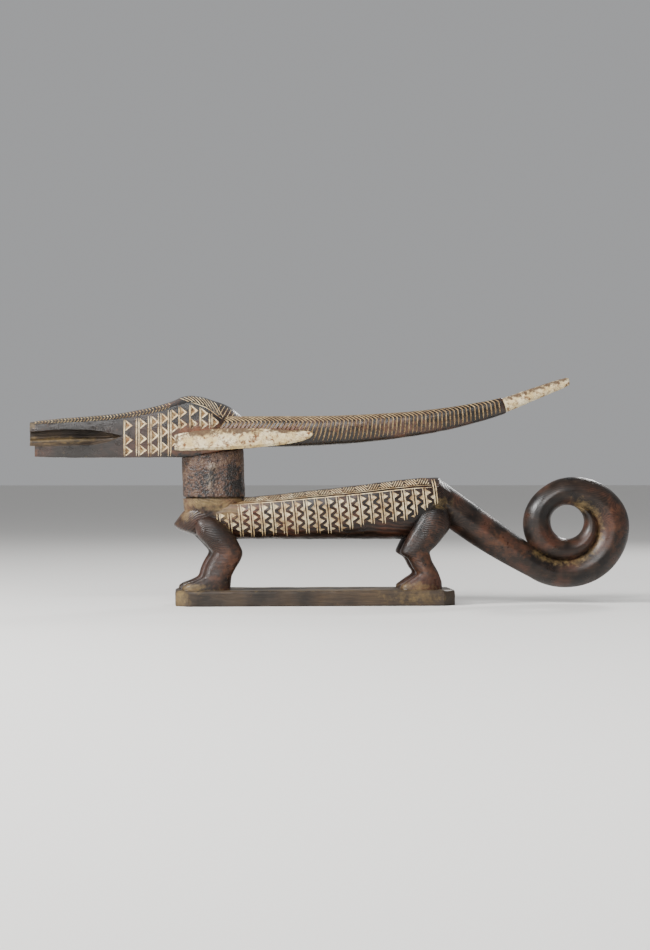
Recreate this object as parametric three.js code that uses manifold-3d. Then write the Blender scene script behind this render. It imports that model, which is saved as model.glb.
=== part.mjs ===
// A horizontal antelope headdress of carved wood: a crouching body with a spiral tail on a slab base,
// a long head with swept-back horns and ears, and a hide collar round the joint at the neck.
// Millimetres, +Z up. The origin is the middle of the base's underside. The head looks to -X.
import * as THREE from "three";
import { mergeVertices } from "three/addons/utils/BufferGeometryUtils.js";
import Module from "manifold-3d";

const wasm = await Module();
wasm.setup();

// Slab base
const BASE_LENGTH = 319;
const BASE_DEPTH = 88;
const BASE_HEIGHT = 17.8;
const BASE_CHAMFER = 14;
const BASE_EDGE = 1.5;

// Body: profile stations along X, then one value each
const BODY_FRONT_X = -160.5;
const BODY_REAR_X = 152;
const BACK_Z = [[-160.5, 93.6], [-158, 97], [-153, 103], [-149.2, 108.5], [-148.6, 122], [-80, 123.2],
  [146, 145.8], [152, 140]];
const BELLY_Z = [[-160.5, 91], [-157, 87.2], [-149, 83.4], [-137, 79.6], [-91, 75], [95, 74.6],
  [122, 79], [152, 93]];
const BODY_HALF_WIDTH = [[-160.5, 5], [-157, 11], [-149, 18], [-130, 25], [-60, 29], [60, 31],
  [130, 29], [152, 22]];
const BODY_STEP = 26;
const BODY_WIDEST = 0.5;
const BODY_SQUARENESS_TOP = 2.3;
const BODY_SQUARENESS_BELLY = 2.3;
const BODY_SIDES = 24;

// Neck and the hide collar round it; the joint of the two carvings lies inside the collar.
// The neck leans back a little towards its foot.
const NECK_TOP_X = -117;
const NECK_FOOT_X = -114;
const NECK_FOOT_Z = 100;
const NECK_TOP_Z = 182;
const NECK_ROOT_TAPER = 0.95;
const NECK_HALF_LENGTH = 32.6;
const NECK_HALF_WIDTH = 23.6;
const NECK_SQUARENESS = 2.5;
const NECK_SIDES = 32;
const NECK_JOINT_Z = 148;
const COLLAR_WALL = 3;
const COLLAR_BOTTOM_Z = 123.4;
const FIT_GAP = 0.3;

// Legs of the near side, mirrored to the far side. Stations: height, front x, back x, half width.
const LEG_Y = 24.5;
const FAR_FRONT_LEG_SHIFT = -3;
const LEG_SQUARENESS = 2.4;
const LEG_SIDES = 16;
const FRONT_LEG = [
  [100.5, -125, -118, 3],
  [98, -133, -112, 8.5],
  [91, -137, -102, 12],
  [80, -134.6, -92.6, 13.2],
  [69, -124.4, -86.4, 12.6],
  [60, -118, -83, 11.8],
  [51, -122.6, -85.8, 11],
  [42, -126.8, -91.2, 10.6],
  [33, -129.6, -95.4, 10.4],
  [27.5, -139.5, -96.2, 10.8],
  [24, -148.6, -96.6, 11.2],
  [20.6, -152, -97, 11.4],
  [16.5, -152.6, -97, 11.6],
];
const REAR_LEG = [
  [113.2, 138, 146, 3],
  [109, 127.4, 149.4, 8.5],
  [100, 118.4, 153, 12.2],
  [90, 112, 154, 13.4],
  [76, 103.8, 145.4, 13],
  [66, 98.6, 136.4, 12.4],
  [60, 96.4, 131, 11.8],
  [53, 105.4, 132.4, 11],
  [42, 111.4, 138, 10.6],
  [35.6, 115, 141.2, 10.4],
  [29.5, 107.6, 143.2, 10.8],
  [25, 101.4, 144.6, 11.2],
  [21, 97, 145, 11.4],
  [16.5, 96.4, 145.4, 11.6],
];

// Tail: a fall from the rump, then a coil round an open eye
const TAIL_ROOT = [135.1, 127.3];
const TAIL_ROOT_HALF_DEPTH = 19.7;
const TAIL_ROOT_HALF_WIDTH = 22;
// The fall's underside hangs lower than a straight line by twice this, half-way down
const TAIL_SAG = 2.1;
const TAIL_STEPS = 5;
const TAIL_SQUARENESS = 1.65;
const TAIL_SIDES = 16;
const EYE_CENTRE = [291.7, 93.3];
const EYE_RADIUS = 19.3;
// The open eye sits this far off the centre that the coil is wound round
const EYE_SHIFT = [2, 0.9];
const COIL_ENTRY_DEG = -124;
const COIL_END_DEG = 416;
const COIL_STEP_DEG = 14;
const COIL_SPLIT_DEG = 190;
// Outer radius of the coil at each angle round the eye, counted up from the horizontal
const COIL_OUTER = [[-124, 75.6], [-90, 75], [-45, 76], [-5, 75.4], [25, 67], [60, 57.4], [92, 51.8],
  [130, 48.6], [200, 50], [223, 48.6], [258, 45.9], [307, 43.4], [333, 41.4], [355, 39], [375, 35.2],
  [416, 24]];
const COIL_BITE = 3.5;
const COIL_HALF_WIDTH = [[-124, 16], [0, 16.5], [90, 15.5], [200, 15], [300, 12.5], [366, 9], [416, 5]];

// Head: stations along X, then crest height, shoulder line height and half width
const HEAD_CREST_Z = [[-324, 209], [-284, 213.6], [-232, 217.7], [-205, 222], [-179, 227.8], [-162, 233.2],
  [-150, 238.2], [-140, 239.3], [-130, 238.2], [-106, 230.6], [-88, 219.2], [-76, 212]];
const HEAD_LINE_Z = [[-324, 206], [-283, 207.6], [-231, 211.2], [-205, 214.5], [-179, 219.8], [-157, 227],
  [-143, 230.4], [-127, 225.8], [-104, 210.3], [-76, 198]];
const HEAD_BOTTOM_Z = [[-324, 169.6], [-270, 168], [-156, 168.4], [-76, 179.4]];
const HEAD_HALF_WIDTH = [[-324, 15], [-270, 18], [-219, 22.5], [-160, 27.5], [-120, 28], [-100, 24],
  [-76, 14]];
const HEAD_FRONT_X = -324;
const HEAD_REAR_X = -76;
const HEAD_STEP = 16;
// One cross-section of the head as shares: half width, then height between its foot and its shoulder line
const CREST_SHARE = 0.3;
const CHEEK_SHARES = [[1.03, 0.6], [0.98, 0.25], [0.86, 0.05], [0.7, 0]];
const LOWER_JAW_SETBACK = 6;
const BELOW_JAW_Z = 160;

// Mouth: a blind lens on each side, open to the front, with a web left between the two.
// The two lips stay nearly straight up to the taper, then bow to the corner.
const MOUTH_CORNER_X = -219.7;
const MOUTH_UPPER_Z = 199.4;
const MOUTH_LOWER_Z = 180.8;
const MOUTH_CORNER_Z = 193;
const MOUTH_WEB_HALF = 8;
const MOUTH_TAPER = 62;
const MOUTH_BOW = 19;
const MOUTH_LIP_RISE = 1;
const MOUTH_OVERRUN = 20;
const CUT_DEPTH = 60;

// Horns: the centre line and the half height at each station, ringed part first
const HORN_LINE = [[-116, 197.4], [-60, 197.9], [-10, 198.6], [40, 200.7], [93, 205], [140, 211],
  [180, 218.8], [216, 228]];
const HORN_HALF_HEIGHT = [17.6, 17.8, 17.2, 16.4, 15, 13.4, 11.6, 9.6];
const HORN_ASPECT = 0.74;
const HORN_Y = [[-116, 14.5], [0, 16.5], [140, 18.5], [290, 18.5]];
const HORN_SQUARENESS = 2.2;
const HORN_SIDES = 16;
const HORN_STEPS = 14;
const TIP_LINE = [[212, 227], [250, 240.6], [292.5, 256.6]];
const TIP_HALF_HEIGHT = [8.2, 6.8, 4.8];
const TIP_STEPS = 6;

// Ears: flat slabs laid back along the horns. Stations: x, lower edge, upper edge.
const EAR_STATIONS = [[-160, 177, 196.6], [-152, 176, 198], [-116, 176.8, 200.6], [-80, 179, 201.6],
  [-40, 182.8, 200], [-14, 187.8, 198.4], [-4, 193.2, 197.4]];
const EAR_INNER_Y = [[-160, 22], [-110, 25], [-40, 27.5], [-4, 29]];
const EAR_THICKNESS = [[-160, 9], [-116, 12], [-40, 9], [-4, 5]];
const EAR_CORNER = 2;
const EAR_CORNER_SHARE = 0.3;

// An even place closer than this share of a step to a station gives way to it
const NEAR_SHARE = 0.35;
// Two points closer than this are one
const MERGE_DISTANCE = 1e-4;
// A block that cuts a post level reaches up to here, well above the head
const LEVEL_CUT_TOP = 360;

// Value of a station table at one place, straight between stations.
function at(table, place) {
  const last = table.length - 1;
  if (place <= table[0][0]) return table[0][1];
  for (let i = 1; i <= last; i += 1) {
    const [x1, v1] = table[i];
    const [x0, v0] = table[i - 1];
    if (place <= x1) return v0 + ((v1 - v0) * (place - x0)) / (x1 - x0);
  }
  return table[last][1];
}

// Evenly spaced places from one end to the other, about one step apart, joined by the stations of the tables.
function places(from, to, step, ...tables) {
  const count = Math.ceil((to - from) / step);
  const even = Array.from({ length: count + 1 }, (_, i) => from + ((to - from) * i) / count);
  const stations = tables.flat().map(([x]) => x);
  const near = step * NEAR_SHARE;
  const kept = even.filter((x) => x === from || x === to || !stations.some((s) => Math.abs(s - x) < near));
  const inside = stations.filter((x) => x > from && x < to);
  return [...new Set([...kept, ...inside])].sort((a, b) => a - b);
}

// A rounded outline of a given squareness: 2 is an ellipse, 1 a diamond, large values a box.
function rounded(angle, squareness) {
  const c = Math.cos(angle);
  const s = Math.sin(angle);
  const power = 2 / squareness;
  return [Math.sign(c) * Math.abs(c) ** power, Math.sign(s) * Math.abs(s) ** power];
}

// The angles of one ring.
function turns(count) {
  return Array.from({ length: count }, (_, i) => (2 * Math.PI * i) / count);
}

// A closed skin over rings of equal length, with a flat fan at each end.
function loft(rings) {
  const n = rings[0].length;
  const points = rings.flat();
  const faces = [];
  for (let r = 0; r + 1 < rings.length; r += 1) {
    for (let i = 0; i < n; i += 1) {
      const a = r * n + i;
      const b = r * n + ((i + 1) % n);
      faces.push([a, b, b + n], [a, b + n, a + n]);
    }
  }
  const start = points.length;
  points.push(middle(rings[0]), middle(rings[rings.length - 1]));
  const last = (rings.length - 1) * n;
  for (let i = 0; i < n; i += 1) {
    const j = (i + 1) % n;
    faces.push([start, j, i], [start + 1, last + i, last + j]);
  }
  const outward = volumeOf(points, faces) > 0;
  const order = outward ? faces : faces.map(([a, b, c]) => [a, c, b]);
  const geometry = new THREE.BufferGeometry().setFromPoints(points);
  geometry.setIndex(order.flat());
  return geometry;
}

function middle(ring) {
  const sum = ring.reduce((total, p) => total.add(p), new THREE.Vector3());
  return sum.divideScalar(ring.length);
}

function volumeOf(points, faces) {
  const cross = new THREE.Vector3();
  const volumes = faces.map(([a, b, c]) => cross.crossVectors(points[b], points[c]).dot(points[a]));
  return volumes.reduce((total, v) => total + v, 0) / 6;
}

// A manifold solid from a closed three.js geometry.
function solid(geometry) {
  const bare = geometry.clone();
  bare.deleteAttribute("normal");
  bare.deleteAttribute("uv");
  const merged = mergeVertices(bare, MERGE_DISTANCE);
  const vertProperties = merged.attributes.position.array;
  const triVerts = new Uint32Array(merged.index.array);
  return new wasm.Manifold(new wasm.Mesh({ numProp: 3, vertProperties, triVerts }));
}

function join(solids) {
  return solids.reduce((whole, next) => whole.add(next));
}

// The three.js mesh of a finished solid.
function meshOf(name, body, color, roughness) {
  const cut = body.getMesh();
  const geometry = new THREE.BufferGeometry();
  const corners = new THREE.BufferAttribute(new Float32Array(cut.vertProperties), cut.numProp);
  geometry.setAttribute("position", corners);
  geometry.setIndex(new THREE.BufferAttribute(new Uint32Array(cut.triVerts), 1));
  geometry.computeVertexNormals();
  const mesh = new THREE.Mesh(geometry, new THREE.MeshStandardMaterial({ color, roughness, metalness: 0 }));
  mesh.name = name;
  return mesh;
}

// The same solid on the other side of the middle plane.
function mirrored(geometry) {
  const other = geometry.clone();
  other.scale(1, -1, 1);
  const index = other.index.array;
  for (let i = 0; i < index.length; i += 3) {
    [index[i + 1], index[i + 2]] = [index[i + 2], index[i + 1]];
  }
  return other;
}

function slabBase() {
  const half = BASE_LENGTH / 2 - BASE_EDGE;
  const deep = BASE_DEPTH / 2 - BASE_EDGE;
  const corner = BASE_CHAMFER - BASE_EDGE;
  const nearEnd = [[half - corner, -deep], [half, -deep + corner]];
  const farEnd = [[half, deep - corner], [half - corner, deep]];
  const rightSide = [...nearEnd, ...farEnd];
  const outline = [...rightSide, ...rightSide.map(([x, y]) => [-x, -y])];
  const shape = new THREE.Shape(outline.map(([x, y]) => new THREE.Vector2(x, y)));
  const bevel = { bevelEnabled: true, bevelSize: BASE_EDGE, bevelThickness: BASE_EDGE, bevelSegments: 1 };
  const slab = new THREE.ExtrudeGeometry(shape, { depth: BASE_HEIGHT - 2 * BASE_EDGE, ...bevel });
  slab.translate(0, 0, BASE_EDGE);
  return slab;
}

function torso() {
  const stops = places(BODY_FRONT_X, BODY_REAR_X, BODY_STEP, BACK_Z, BELLY_Z);
  const rings = stops.map((x) => {
    const top = at(BACK_Z, x);
    const bottom = at(BELLY_Z, x);
    const wide = at(BODY_HALF_WIDTH, x);
    const widest = bottom + (top - bottom) * BODY_WIDEST;
    return turns(BODY_SIDES).map((angle) => {
      const upper = Math.sin(angle) > 0;
      const [c, s] = rounded(angle, upper ? BODY_SQUARENESS_TOP : BODY_SQUARENESS_BELLY);
      const z = upper ? widest + s * (top - widest) : widest + s * (widest - bottom);
      return new THREE.Vector3(x, c * wide, z);
    });
  });
  return loft(rings);
}

function leg(stations) {
  const rings = stations.map(([z, front, back, wide]) => {
    const centre = (front + back) / 2;
    const reach = (back - front) / 2;
    return turns(LEG_SIDES).map((angle) => {
      const [c, s] = rounded(angle, LEG_SQUARENESS);
      return new THREE.Vector3(centre + c * reach, -LEG_Y + s * wide, z);
    });
  });
  return loft(rings);
}

function onCoil(degrees, radius, y) {
  const angle = THREE.MathUtils.degToRad(degrees);
  const [x, z] = EYE_CENTRE;
  return new THREE.Vector3(x + radius * Math.cos(angle), y, z + radius * Math.sin(angle));
}

// The coil is wound like a spring of one and a half turns: its inner edge bites into the next turn in.
function coilInner(degrees) {
  const angle = THREE.MathUtils.degToRad(degrees);
  const eye = EYE_RADIUS + EYE_SHIFT[0] * Math.cos(angle) + EYE_SHIFT[1] * Math.sin(angle);
  const turnIn = degrees + 360;
  const touching = turnIn <= COIL_END_DEG ? at(COIL_OUTER, turnIn) - COIL_BITE : eye;
  return Math.max(eye, touching);
}

function coilRing(degrees) {
  const outer = at(COIL_OUTER, degrees);
  const inner = coilInner(degrees);
  const wide = at(COIL_HALF_WIDTH, degrees);
  return turns(TAIL_SIDES).map((angle) => {
    const [c, s] = rounded(angle, TAIL_SQUARENESS);
    return onCoil(degrees, (outer + inner) / 2 + (c * (outer - inner)) / 2, s * wide);
  });
}

function coilRings(fromDegrees, toDegrees) {
  return places(fromDegrees, toDegrees, COIL_STEP_DEG).map(coilRing);
}

// The fall of the tail, from inside the rump to just before the coil begins: straight above, sagging below.
function fallRings() {
  const entryOuter = at(COIL_OUTER, COIL_ENTRY_DEG);
  const entryInner = coilInner(COIL_ENTRY_DEG);
  const entry = onCoil(COIL_ENTRY_DEG, (entryOuter + entryInner) / 2, 0);
  const root = new THREE.Vector3(TAIL_ROOT[0], 0, TAIL_ROOT[1]);
  const along = entry.clone().sub(root).normalize();
  const down = new THREE.Vector3(along.z, 0, -along.x);
  const rings = [];
  for (let i = 0; i < TAIL_STEPS; i += 1) {
    const share = i / TAIL_STEPS;
    const sag = TAIL_SAG * Math.sin(Math.PI * share);
    const centre = root.clone().lerp(entry, share).addScaledVector(down, sag);
    const deep = THREE.MathUtils.lerp(TAIL_ROOT_HALF_DEPTH, (entryOuter - entryInner) / 2, share) + sag;
    const wide = THREE.MathUtils.lerp(TAIL_ROOT_HALF_WIDTH, COIL_HALF_WIDTH[0][1], share);
    const ring = turns(TAIL_SIDES).map((angle) => {
      const [c, s] = rounded(angle, TAIL_SQUARENESS);
      const point = centre.clone().addScaledVector(down, c * deep);
      point.y = s * wide;
      return point;
    });
    rings.push(ring);
  }
  return rings;
}

// An upright post with the neck's outline grown by a margin. Its top height may depend on X.
function neckPost(margin, bottom, top, taper = 1) {
  const rings = [[bottom, taper, () => bottom], [NECK_TOP_Z, 1, top]].map(([level, grow, heightAt]) => {
    const rise = (level - NECK_FOOT_Z) / (NECK_TOP_Z - NECK_FOOT_Z);
    const centre = THREE.MathUtils.lerp(NECK_FOOT_X, NECK_TOP_X, rise);
    return turns(NECK_SIDES).map((angle) => {
      const [c, s] = rounded(angle, NECK_SQUARENESS);
      const x = centre + c * (NECK_HALF_LENGTH + margin) * grow;
      return new THREE.Vector3(x, s * (NECK_HALF_WIDTH + margin) * grow, heightAt(x));
    });
  });
  return loft(rings);
}

// A block that reaches past the whole neck, from one height to another, to cut a post level.
function levelBlock(low, high) {
  const block = new THREE.BoxGeometry(BASE_LENGTH, BASE_LENGTH, high - low);
  block.translate(NECK_TOP_X, 0, (low + high) / 2);
  return solid(block);
}

function headRing(x) {
  const crest = at(HEAD_CREST_Z, x);
  const line = at(HEAD_LINE_Z, x);
  const bottom = at(HEAD_BOTTOM_Z, x);
  const wide = at(HEAD_HALF_WIDTH, x);
  const side = line - bottom;
  const half = [
    [CREST_SHARE * wide, crest],
    [wide, line],
    ...CHEEK_SHARES.map(([across, up]) => [wide * across, bottom + side * up]),
  ];
  const other = half.map(([y, z]) => [-y, z]).reverse();
  return [...half, ...other].map(([y, z]) => new THREE.Vector3(x, y, z));
}

function skull() {
  return loft(places(HEAD_FRONT_X, HEAD_REAR_X, HEAD_STEP, HEAD_CREST_Z).map(headRing));
}

// The shape cut out of one side of the muzzle, pointed at the mouth's corner.
function mouthCut() {
  const shape = new THREE.Shape();
  const front = HEAD_FRONT_X - MOUTH_OVERRUN;
  const bend = MOUTH_CORNER_X - MOUTH_TAPER;
  const pull = MOUTH_CORNER_X - MOUTH_BOW;
  shape.moveTo(front, MOUTH_LOWER_Z);
  shape.lineTo(bend, MOUTH_LOWER_Z + MOUTH_LIP_RISE);
  shape.quadraticCurveTo(pull, MOUTH_LOWER_Z + MOUTH_LIP_RISE, MOUTH_CORNER_X, MOUTH_CORNER_Z);
  shape.quadraticCurveTo(pull, MOUTH_UPPER_Z, bend, MOUTH_UPPER_Z);
  shape.lineTo(front, MOUTH_UPPER_Z - MOUTH_LIP_RISE);
  const cut = new THREE.ExtrudeGeometry(shape, { depth: CUT_DEPTH, bevelEnabled: false, curveSegments: 8 });
  cut.rotateX(Math.PI / 2);
  cut.translate(0, -MOUTH_WEB_HALF, 0);
  return cut;
}

// The lower jaw ends a little behind the upper one.
function jawCut() {
  const cut = new THREE.BoxGeometry(2 * LOWER_JAW_SETBACK, CUT_DEPTH, MOUTH_LOWER_Z - BELOW_JAW_Z);
  cut.translate(HEAD_FRONT_X, 0, (MOUTH_LOWER_Z + BELOW_JAW_Z) / 2);
  return cut;
}

// A tapering stem along a centre line in the plane of one horn, with its half heights.
function stem(line, halfHeights, steps) {
  const curve = new THREE.CatmullRomCurve3(line.map(([x, z]) => new THREE.Vector3(x, 0, z)));
  const rings = [];
  for (let i = 0; i <= steps; i += 1) {
    const share = i / steps;
    const centre = curve.getPoint(share);
    const along = curve.getTangent(share);
    const across = new THREE.Vector3(-along.z, 0, along.x);
    const place = share * (halfHeights.length - 1);
    const before = Math.min(Math.floor(place), halfHeights.length - 2);
    const high = THREE.MathUtils.lerp(halfHeights[before], halfHeights[before + 1], place - before);
    const ring = turns(HORN_SIDES).map((angle) => {
      const [c, s] = rounded(angle, HORN_SQUARENESS);
      const point = centre.clone().addScaledVector(across, s * high);
      point.y = -at(HORN_Y, point.x) + c * high * HORN_ASPECT;
      return point;
    });
    rings.push(ring);
  }
  return loft(rings);
}

function ear() {
  const rings = EAR_STATIONS.map(([x, lower, upper]) => {
    const inner = -at(EAR_INNER_Y, x);
    const outer = inner - at(EAR_THICKNESS, x);
    const corner = Math.min(EAR_CORNER, (upper - lower) * EAR_CORNER_SHARE);
    const outline = [
      [inner, lower],
      [inner, upper],
      [outer + corner, upper],
      [outer, upper - corner],
      [outer, lower + corner],
      [outer + corner, lower],
    ];
    return outline.map(([y, z]) => new THREE.Vector3(x, y, z));
  });
  return loft(rings);
}

function buildBody() {
  const nearLegs = [leg(FRONT_LEG), leg(REAR_LEG)];
  const farLegs = nearLegs.map(mirrored);
  farLegs[0].translate(FAR_FRONT_LEG_SHIFT, 0, 0);
  const tail = loft([...fallRings(), ...coilRings(COIL_ENTRY_DEG, COIL_SPLIT_DEG)]);
  const innerTurn = loft(coilRings(COIL_SPLIT_DEG - COIL_STEP_DEG, COIL_END_DEG));
  const above = levelBlock(NECK_JOINT_Z - FIT_GAP / 2, LEVEL_CUT_TOP);
  const neck = solid(neckPost(0, NECK_FOOT_Z, () => NECK_TOP_Z)).subtract(above);
  const shoulderTop = levelBlock(COLLAR_BOTTOM_Z - FIT_GAP, LEVEL_CUT_TOP);
  const shoulder = solid(neckPost(FIT_GAP + COLLAR_WALL, NECK_FOOT_Z, () => NECK_TOP_Z, NECK_ROOT_TAPER));
  const carved = [slabBase(), torso(), ...nearLegs, ...farLegs, tail, innerTurn].map(solid);
  return join([...carved, shoulder.subtract(shoulderTop), neck]);
}

function buildHead() {
  const ringedPart = stem(HORN_LINE, HORN_HALF_HEIGHT, HORN_STEPS);
  const bareTip = stem(TIP_LINE, TIP_HALF_HEIGHT, TIP_STEPS);
  const nearSide = [ringedPart, bareTip, ear()];
  const farSide = nearSide.map(mirrored);
  const below = levelBlock(0, NECK_JOINT_Z + FIT_GAP / 2);
  const neck = solid(neckPost(0, NECK_FOOT_Z, () => NECK_TOP_Z)).subtract(below);
  const carved = [skull(), ...nearSide, ...farSide].map(solid);
  const nearMouth = mergeVertices(mouthCut());
  const cuts = [nearMouth, mirrored(nearMouth), jawCut()].map(solid);
  return join([...carved, neck]).subtract(join(cuts));
}

// The collar's top edge follows the slant of the head's underside above it.
function buildCollar() {
  const underHead = (x) => at(HEAD_BOTTOM_Z, x) - FIT_GAP;
  const below = levelBlock(0, COLLAR_BOTTOM_Z);
  const outer = solid(neckPost(FIT_GAP + COLLAR_WALL, NECK_FOOT_Z, underHead)).subtract(below);
  const bore = solid(neckPost(FIT_GAP, NECK_FOOT_Z, () => NECK_TOP_Z));
  return outer.subtract(bore);
}

const headdress = new THREE.Group();
headdress.name = "headdress";
const body = buildBody();
const head = buildHead();
const collar = buildCollar();
headdress.add(meshOf("body", body, 0x3a2a20, 0.45));
headdress.add(meshOf("head", head, 0x36281f, 0.45));
headdress.add(meshOf("neck_collar", collar, 0x4a3022, 0.7));

export default headdress;
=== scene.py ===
"""The looks of a carved antelope headdress: patinated wood with knife-cut bands filled with white clay.

The figure is two carvings. The body crouches on a slab base and ends in a coiled tail. The long head carries
swept-back ears and ringed horns. A hide collar hides the joint of the two at the neck. The head looks to -X.
Sizes are in millimetres until a mesh is made; meshes are in metres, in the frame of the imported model.
"""

import logging
import math
from dataclasses import dataclass, field
from enum import Enum

import bpy
import numpy as np
from mathutils import Matrix, Vector, noise


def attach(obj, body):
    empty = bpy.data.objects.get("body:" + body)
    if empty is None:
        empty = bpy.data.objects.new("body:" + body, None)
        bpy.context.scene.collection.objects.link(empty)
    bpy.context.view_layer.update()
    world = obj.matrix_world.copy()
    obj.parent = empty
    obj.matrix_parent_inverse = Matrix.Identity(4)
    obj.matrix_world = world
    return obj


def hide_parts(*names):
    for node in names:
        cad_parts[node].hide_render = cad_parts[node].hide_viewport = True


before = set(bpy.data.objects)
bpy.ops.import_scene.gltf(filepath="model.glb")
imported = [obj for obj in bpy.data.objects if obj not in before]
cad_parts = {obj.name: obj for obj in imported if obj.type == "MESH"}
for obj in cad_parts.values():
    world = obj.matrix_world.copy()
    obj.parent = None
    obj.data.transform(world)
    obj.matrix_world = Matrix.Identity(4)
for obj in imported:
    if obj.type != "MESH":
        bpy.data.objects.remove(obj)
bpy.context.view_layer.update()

log = logging.getLogger("headdress")

MM = 0.001
WHOLE_TURN = 2 * math.pi
SHARP_EDGE = math.radians(34)
PHOTO_LONG_SIDE_PX = 950

Table = tuple[tuple[float, float], ...]
Triple = tuple[float, float, float]
Tree = bpy.types.NodeTree
Node = bpy.types.Node
Socket = bpy.types.NodeSocket
Solid = bpy.types.Object
Material = bpy.types.Material

MATH = "ShaderNodeMath"
NOISE = "ShaderNodeTexNoise"
RANGE = "ShaderNodeMapRange"
RAMP = "ShaderNodeValToRGB"
MIX = "ShaderNodeMix"
NAMED = "GeometryNodeInputNamedAttribute"


class Carve(Enum):
    """How a second solid changes the first."""

    JOIN = "UNION"
    CUT = "DIFFERENCE"


def linear(hex_colour: str) -> tuple[float, float, float, float]:
    """Turn an sRGB hex colour into linear values.

    Args:
        hex_colour: six hex digits after a hash sign.

    Returns:
        Red, green, blue and an alpha of one.
    """
    parts = [int(hex_colour[i : i + 2], 16) / 255 for i in (1, 3, 5)]
    lit = [c / 12.92 if c <= 0.04045 else ((c + 0.055) / 1.055) ** 2.4 for c in parts]
    return (*lit, 1.0)


def add(tree: Tree, kind: str, inputs: dict | None = None, **settings: object) -> Node:
    """Add one node with its settings, and its inputs set or linked.

    Args:
        tree: the node tree.
        kind: Blender's name of the node type.
        inputs: socket name or number to a plain value, to the output that feeds it, or to a node, which
            stands for its first output.
        settings: properties of the node, and a colour ramp's stops.

    Returns:
        The new node.
    """
    node = tree.nodes.new(kind)
    stops = settings.pop("stops", None)
    if stops:
        set_stops(node.color_ramp, stops)
    for name, value in settings.items():
        setattr(node, name, value)
    for key, value in (inputs or {}).items():
        feed = value.outputs[0] if isinstance(value, Node) else value
        if isinstance(feed, Socket):
            tree.links.new(feed, node.inputs[key])
        else:
            node.inputs[key].default_value = feed
    return node


def set_stops(colours: bpy.types.ColorRamp, stops: tuple[tuple[float, str], ...]) -> None:
    """Give a colour ramp its stops.

    Args:
        colours: the ramp.
        stops: each place with its hex colour.
    """
    marks = colours.elements
    while len(marks) < len(stops):
        marks.new(0.5)
    for mark, (at, colour) in zip(marks, stops):
        mark.position = at
        mark.color = linear(colour)


@dataclass(frozen=True)
class Line:
    """A smooth line through given stations that never swings past them."""

    stations: Table

    def __call__(self, place: float | np.ndarray) -> np.ndarray:
        """Read the line.

        Args:
            place: one place or many, held inside the first and last station.

        Returns:
            The value at each place.
        """
        x, y = np.array(self.stations, float).T
        span = np.diff(x)
        rise = np.diff(y) / span
        slope = np.zeros_like(y)
        turning = rise[:-1] * rise[1:] <= 0
        total = np.where(turning, 1.0, rise[:-1] + rise[1:])
        slope[1:-1] = np.where(turning, 0.0, 2 * rise[:-1] * rise[1:] / total)
        slope[0], slope[-1] = rise[0], rise[-1]
        held = np.clip(np.asarray(place, float), x[0], x[-1])
        i = np.clip(np.searchsorted(x, held, side="right") - 1, 0, len(span) - 1)
        t = (held - x[i]) / span[i]
        ease = t * t * (3 - 2 * t)
        lean_in = t * (1 - t) ** 2 * span[i] * slope[i]
        lean_out = t * t * (t - 1) * span[i] * slope[i + 1]
        return y[i] + (y[i + 1] - y[i]) * ease + lean_in + lean_out


@dataclass(frozen=True)
class ToolMarks:
    """How a knife leaves a surface: how deep and how far apart its marks are. Another seed moves them."""

    depth: float
    spacing: float
    seed: float = 0.0
    fine_share: float = 0.4
    fine_rate: float = 2.7

    def worked(self, rings: np.ndarray) -> np.ndarray:
        """Move the rings of a skin in and out a little.

        Args:
            rings: ring, point, coordinate, in millimetres.

        Returns:
            The rings after the move.
        """
        middle = rings.mean(axis=1, keepdims=True)
        outward = rings - middle
        outward /= np.maximum(np.linalg.norm(outward, axis=2, keepdims=True), 1e-6)
        shifted = rings.reshape(-1, 3) / self.spacing + self.seed
        lift = np.array([ripple(*p) + self.fine_share * ripple(*(p * self.fine_rate)) for p in shifted])
        return rings + outward * lift.reshape(*rings.shape[:2], 1) * self.depth


def ripple(x: float, y: float = 0.0, z: float = 0.0) -> float:
    """Smooth noise at one place, from about -1 to 1."""
    return noise.noise(Vector((x, y, z)))


def rounded(angles: np.ndarray, squareness: float) -> tuple[np.ndarray, np.ndarray]:
    """A rounded outline: squareness 2 is an ellipse, 1 a diamond, large values a box.

    Args:
        angles: places round the outline, in radians.
        squareness: how square it is.

    Returns:
        The two coordinates, each from -1 to 1.
    """
    c, s = np.cos(angles), np.sin(angles)
    power = 2 / squareness
    return np.sign(c) * np.abs(c) ** power, np.sign(s) * np.abs(s) ** power


def ring_angles(count: int) -> np.ndarray:
    """The angles of one ring of points."""
    return np.arange(count) * WHOLE_TURN / count


def bezier(controls: list[tuple[float, float]], count: int) -> np.ndarray:
    """Points on a quadratic or cubic Bezier curve.

    Args:
        controls: three or four control points.
        count: how many points.

    Returns:
        One row for each point.
    """
    t = np.linspace(0, 1, count)
    points = [np.outer(np.ones_like(t), c) for c in controls]
    while len(points) > 1:
        points = [a + (b - a) * t[:, None] for a, b in zip(points, points[1:])]
    return points[0]


def across(x: float, outline: np.ndarray | list) -> np.ndarray:
    """A ring that stands across the X axis, from its rows of y and z."""
    return np.column_stack([np.full(len(outline), x), outline])


def outwards(first: np.ndarray, second: np.ndarray) -> np.ndarray:
    """The direction square to two directions on the near side that points away from the wood."""
    normal = np.cross(first, second)
    return normal if normal[1] < 0 else -normal


def linked(name: str, data: bpy.types.ID) -> Solid:
    """Put a mesh, light or camera in the scene."""
    piece = bpy.data.objects.new(name, data)
    bpy.context.scene.collection.objects.link(piece)
    return piece


def discard(piece: Solid) -> None:
    """Remove an object and its mesh."""
    used = piece.data
    bpy.data.objects.remove(piece)
    bpy.data.meshes.remove(used)


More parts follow.
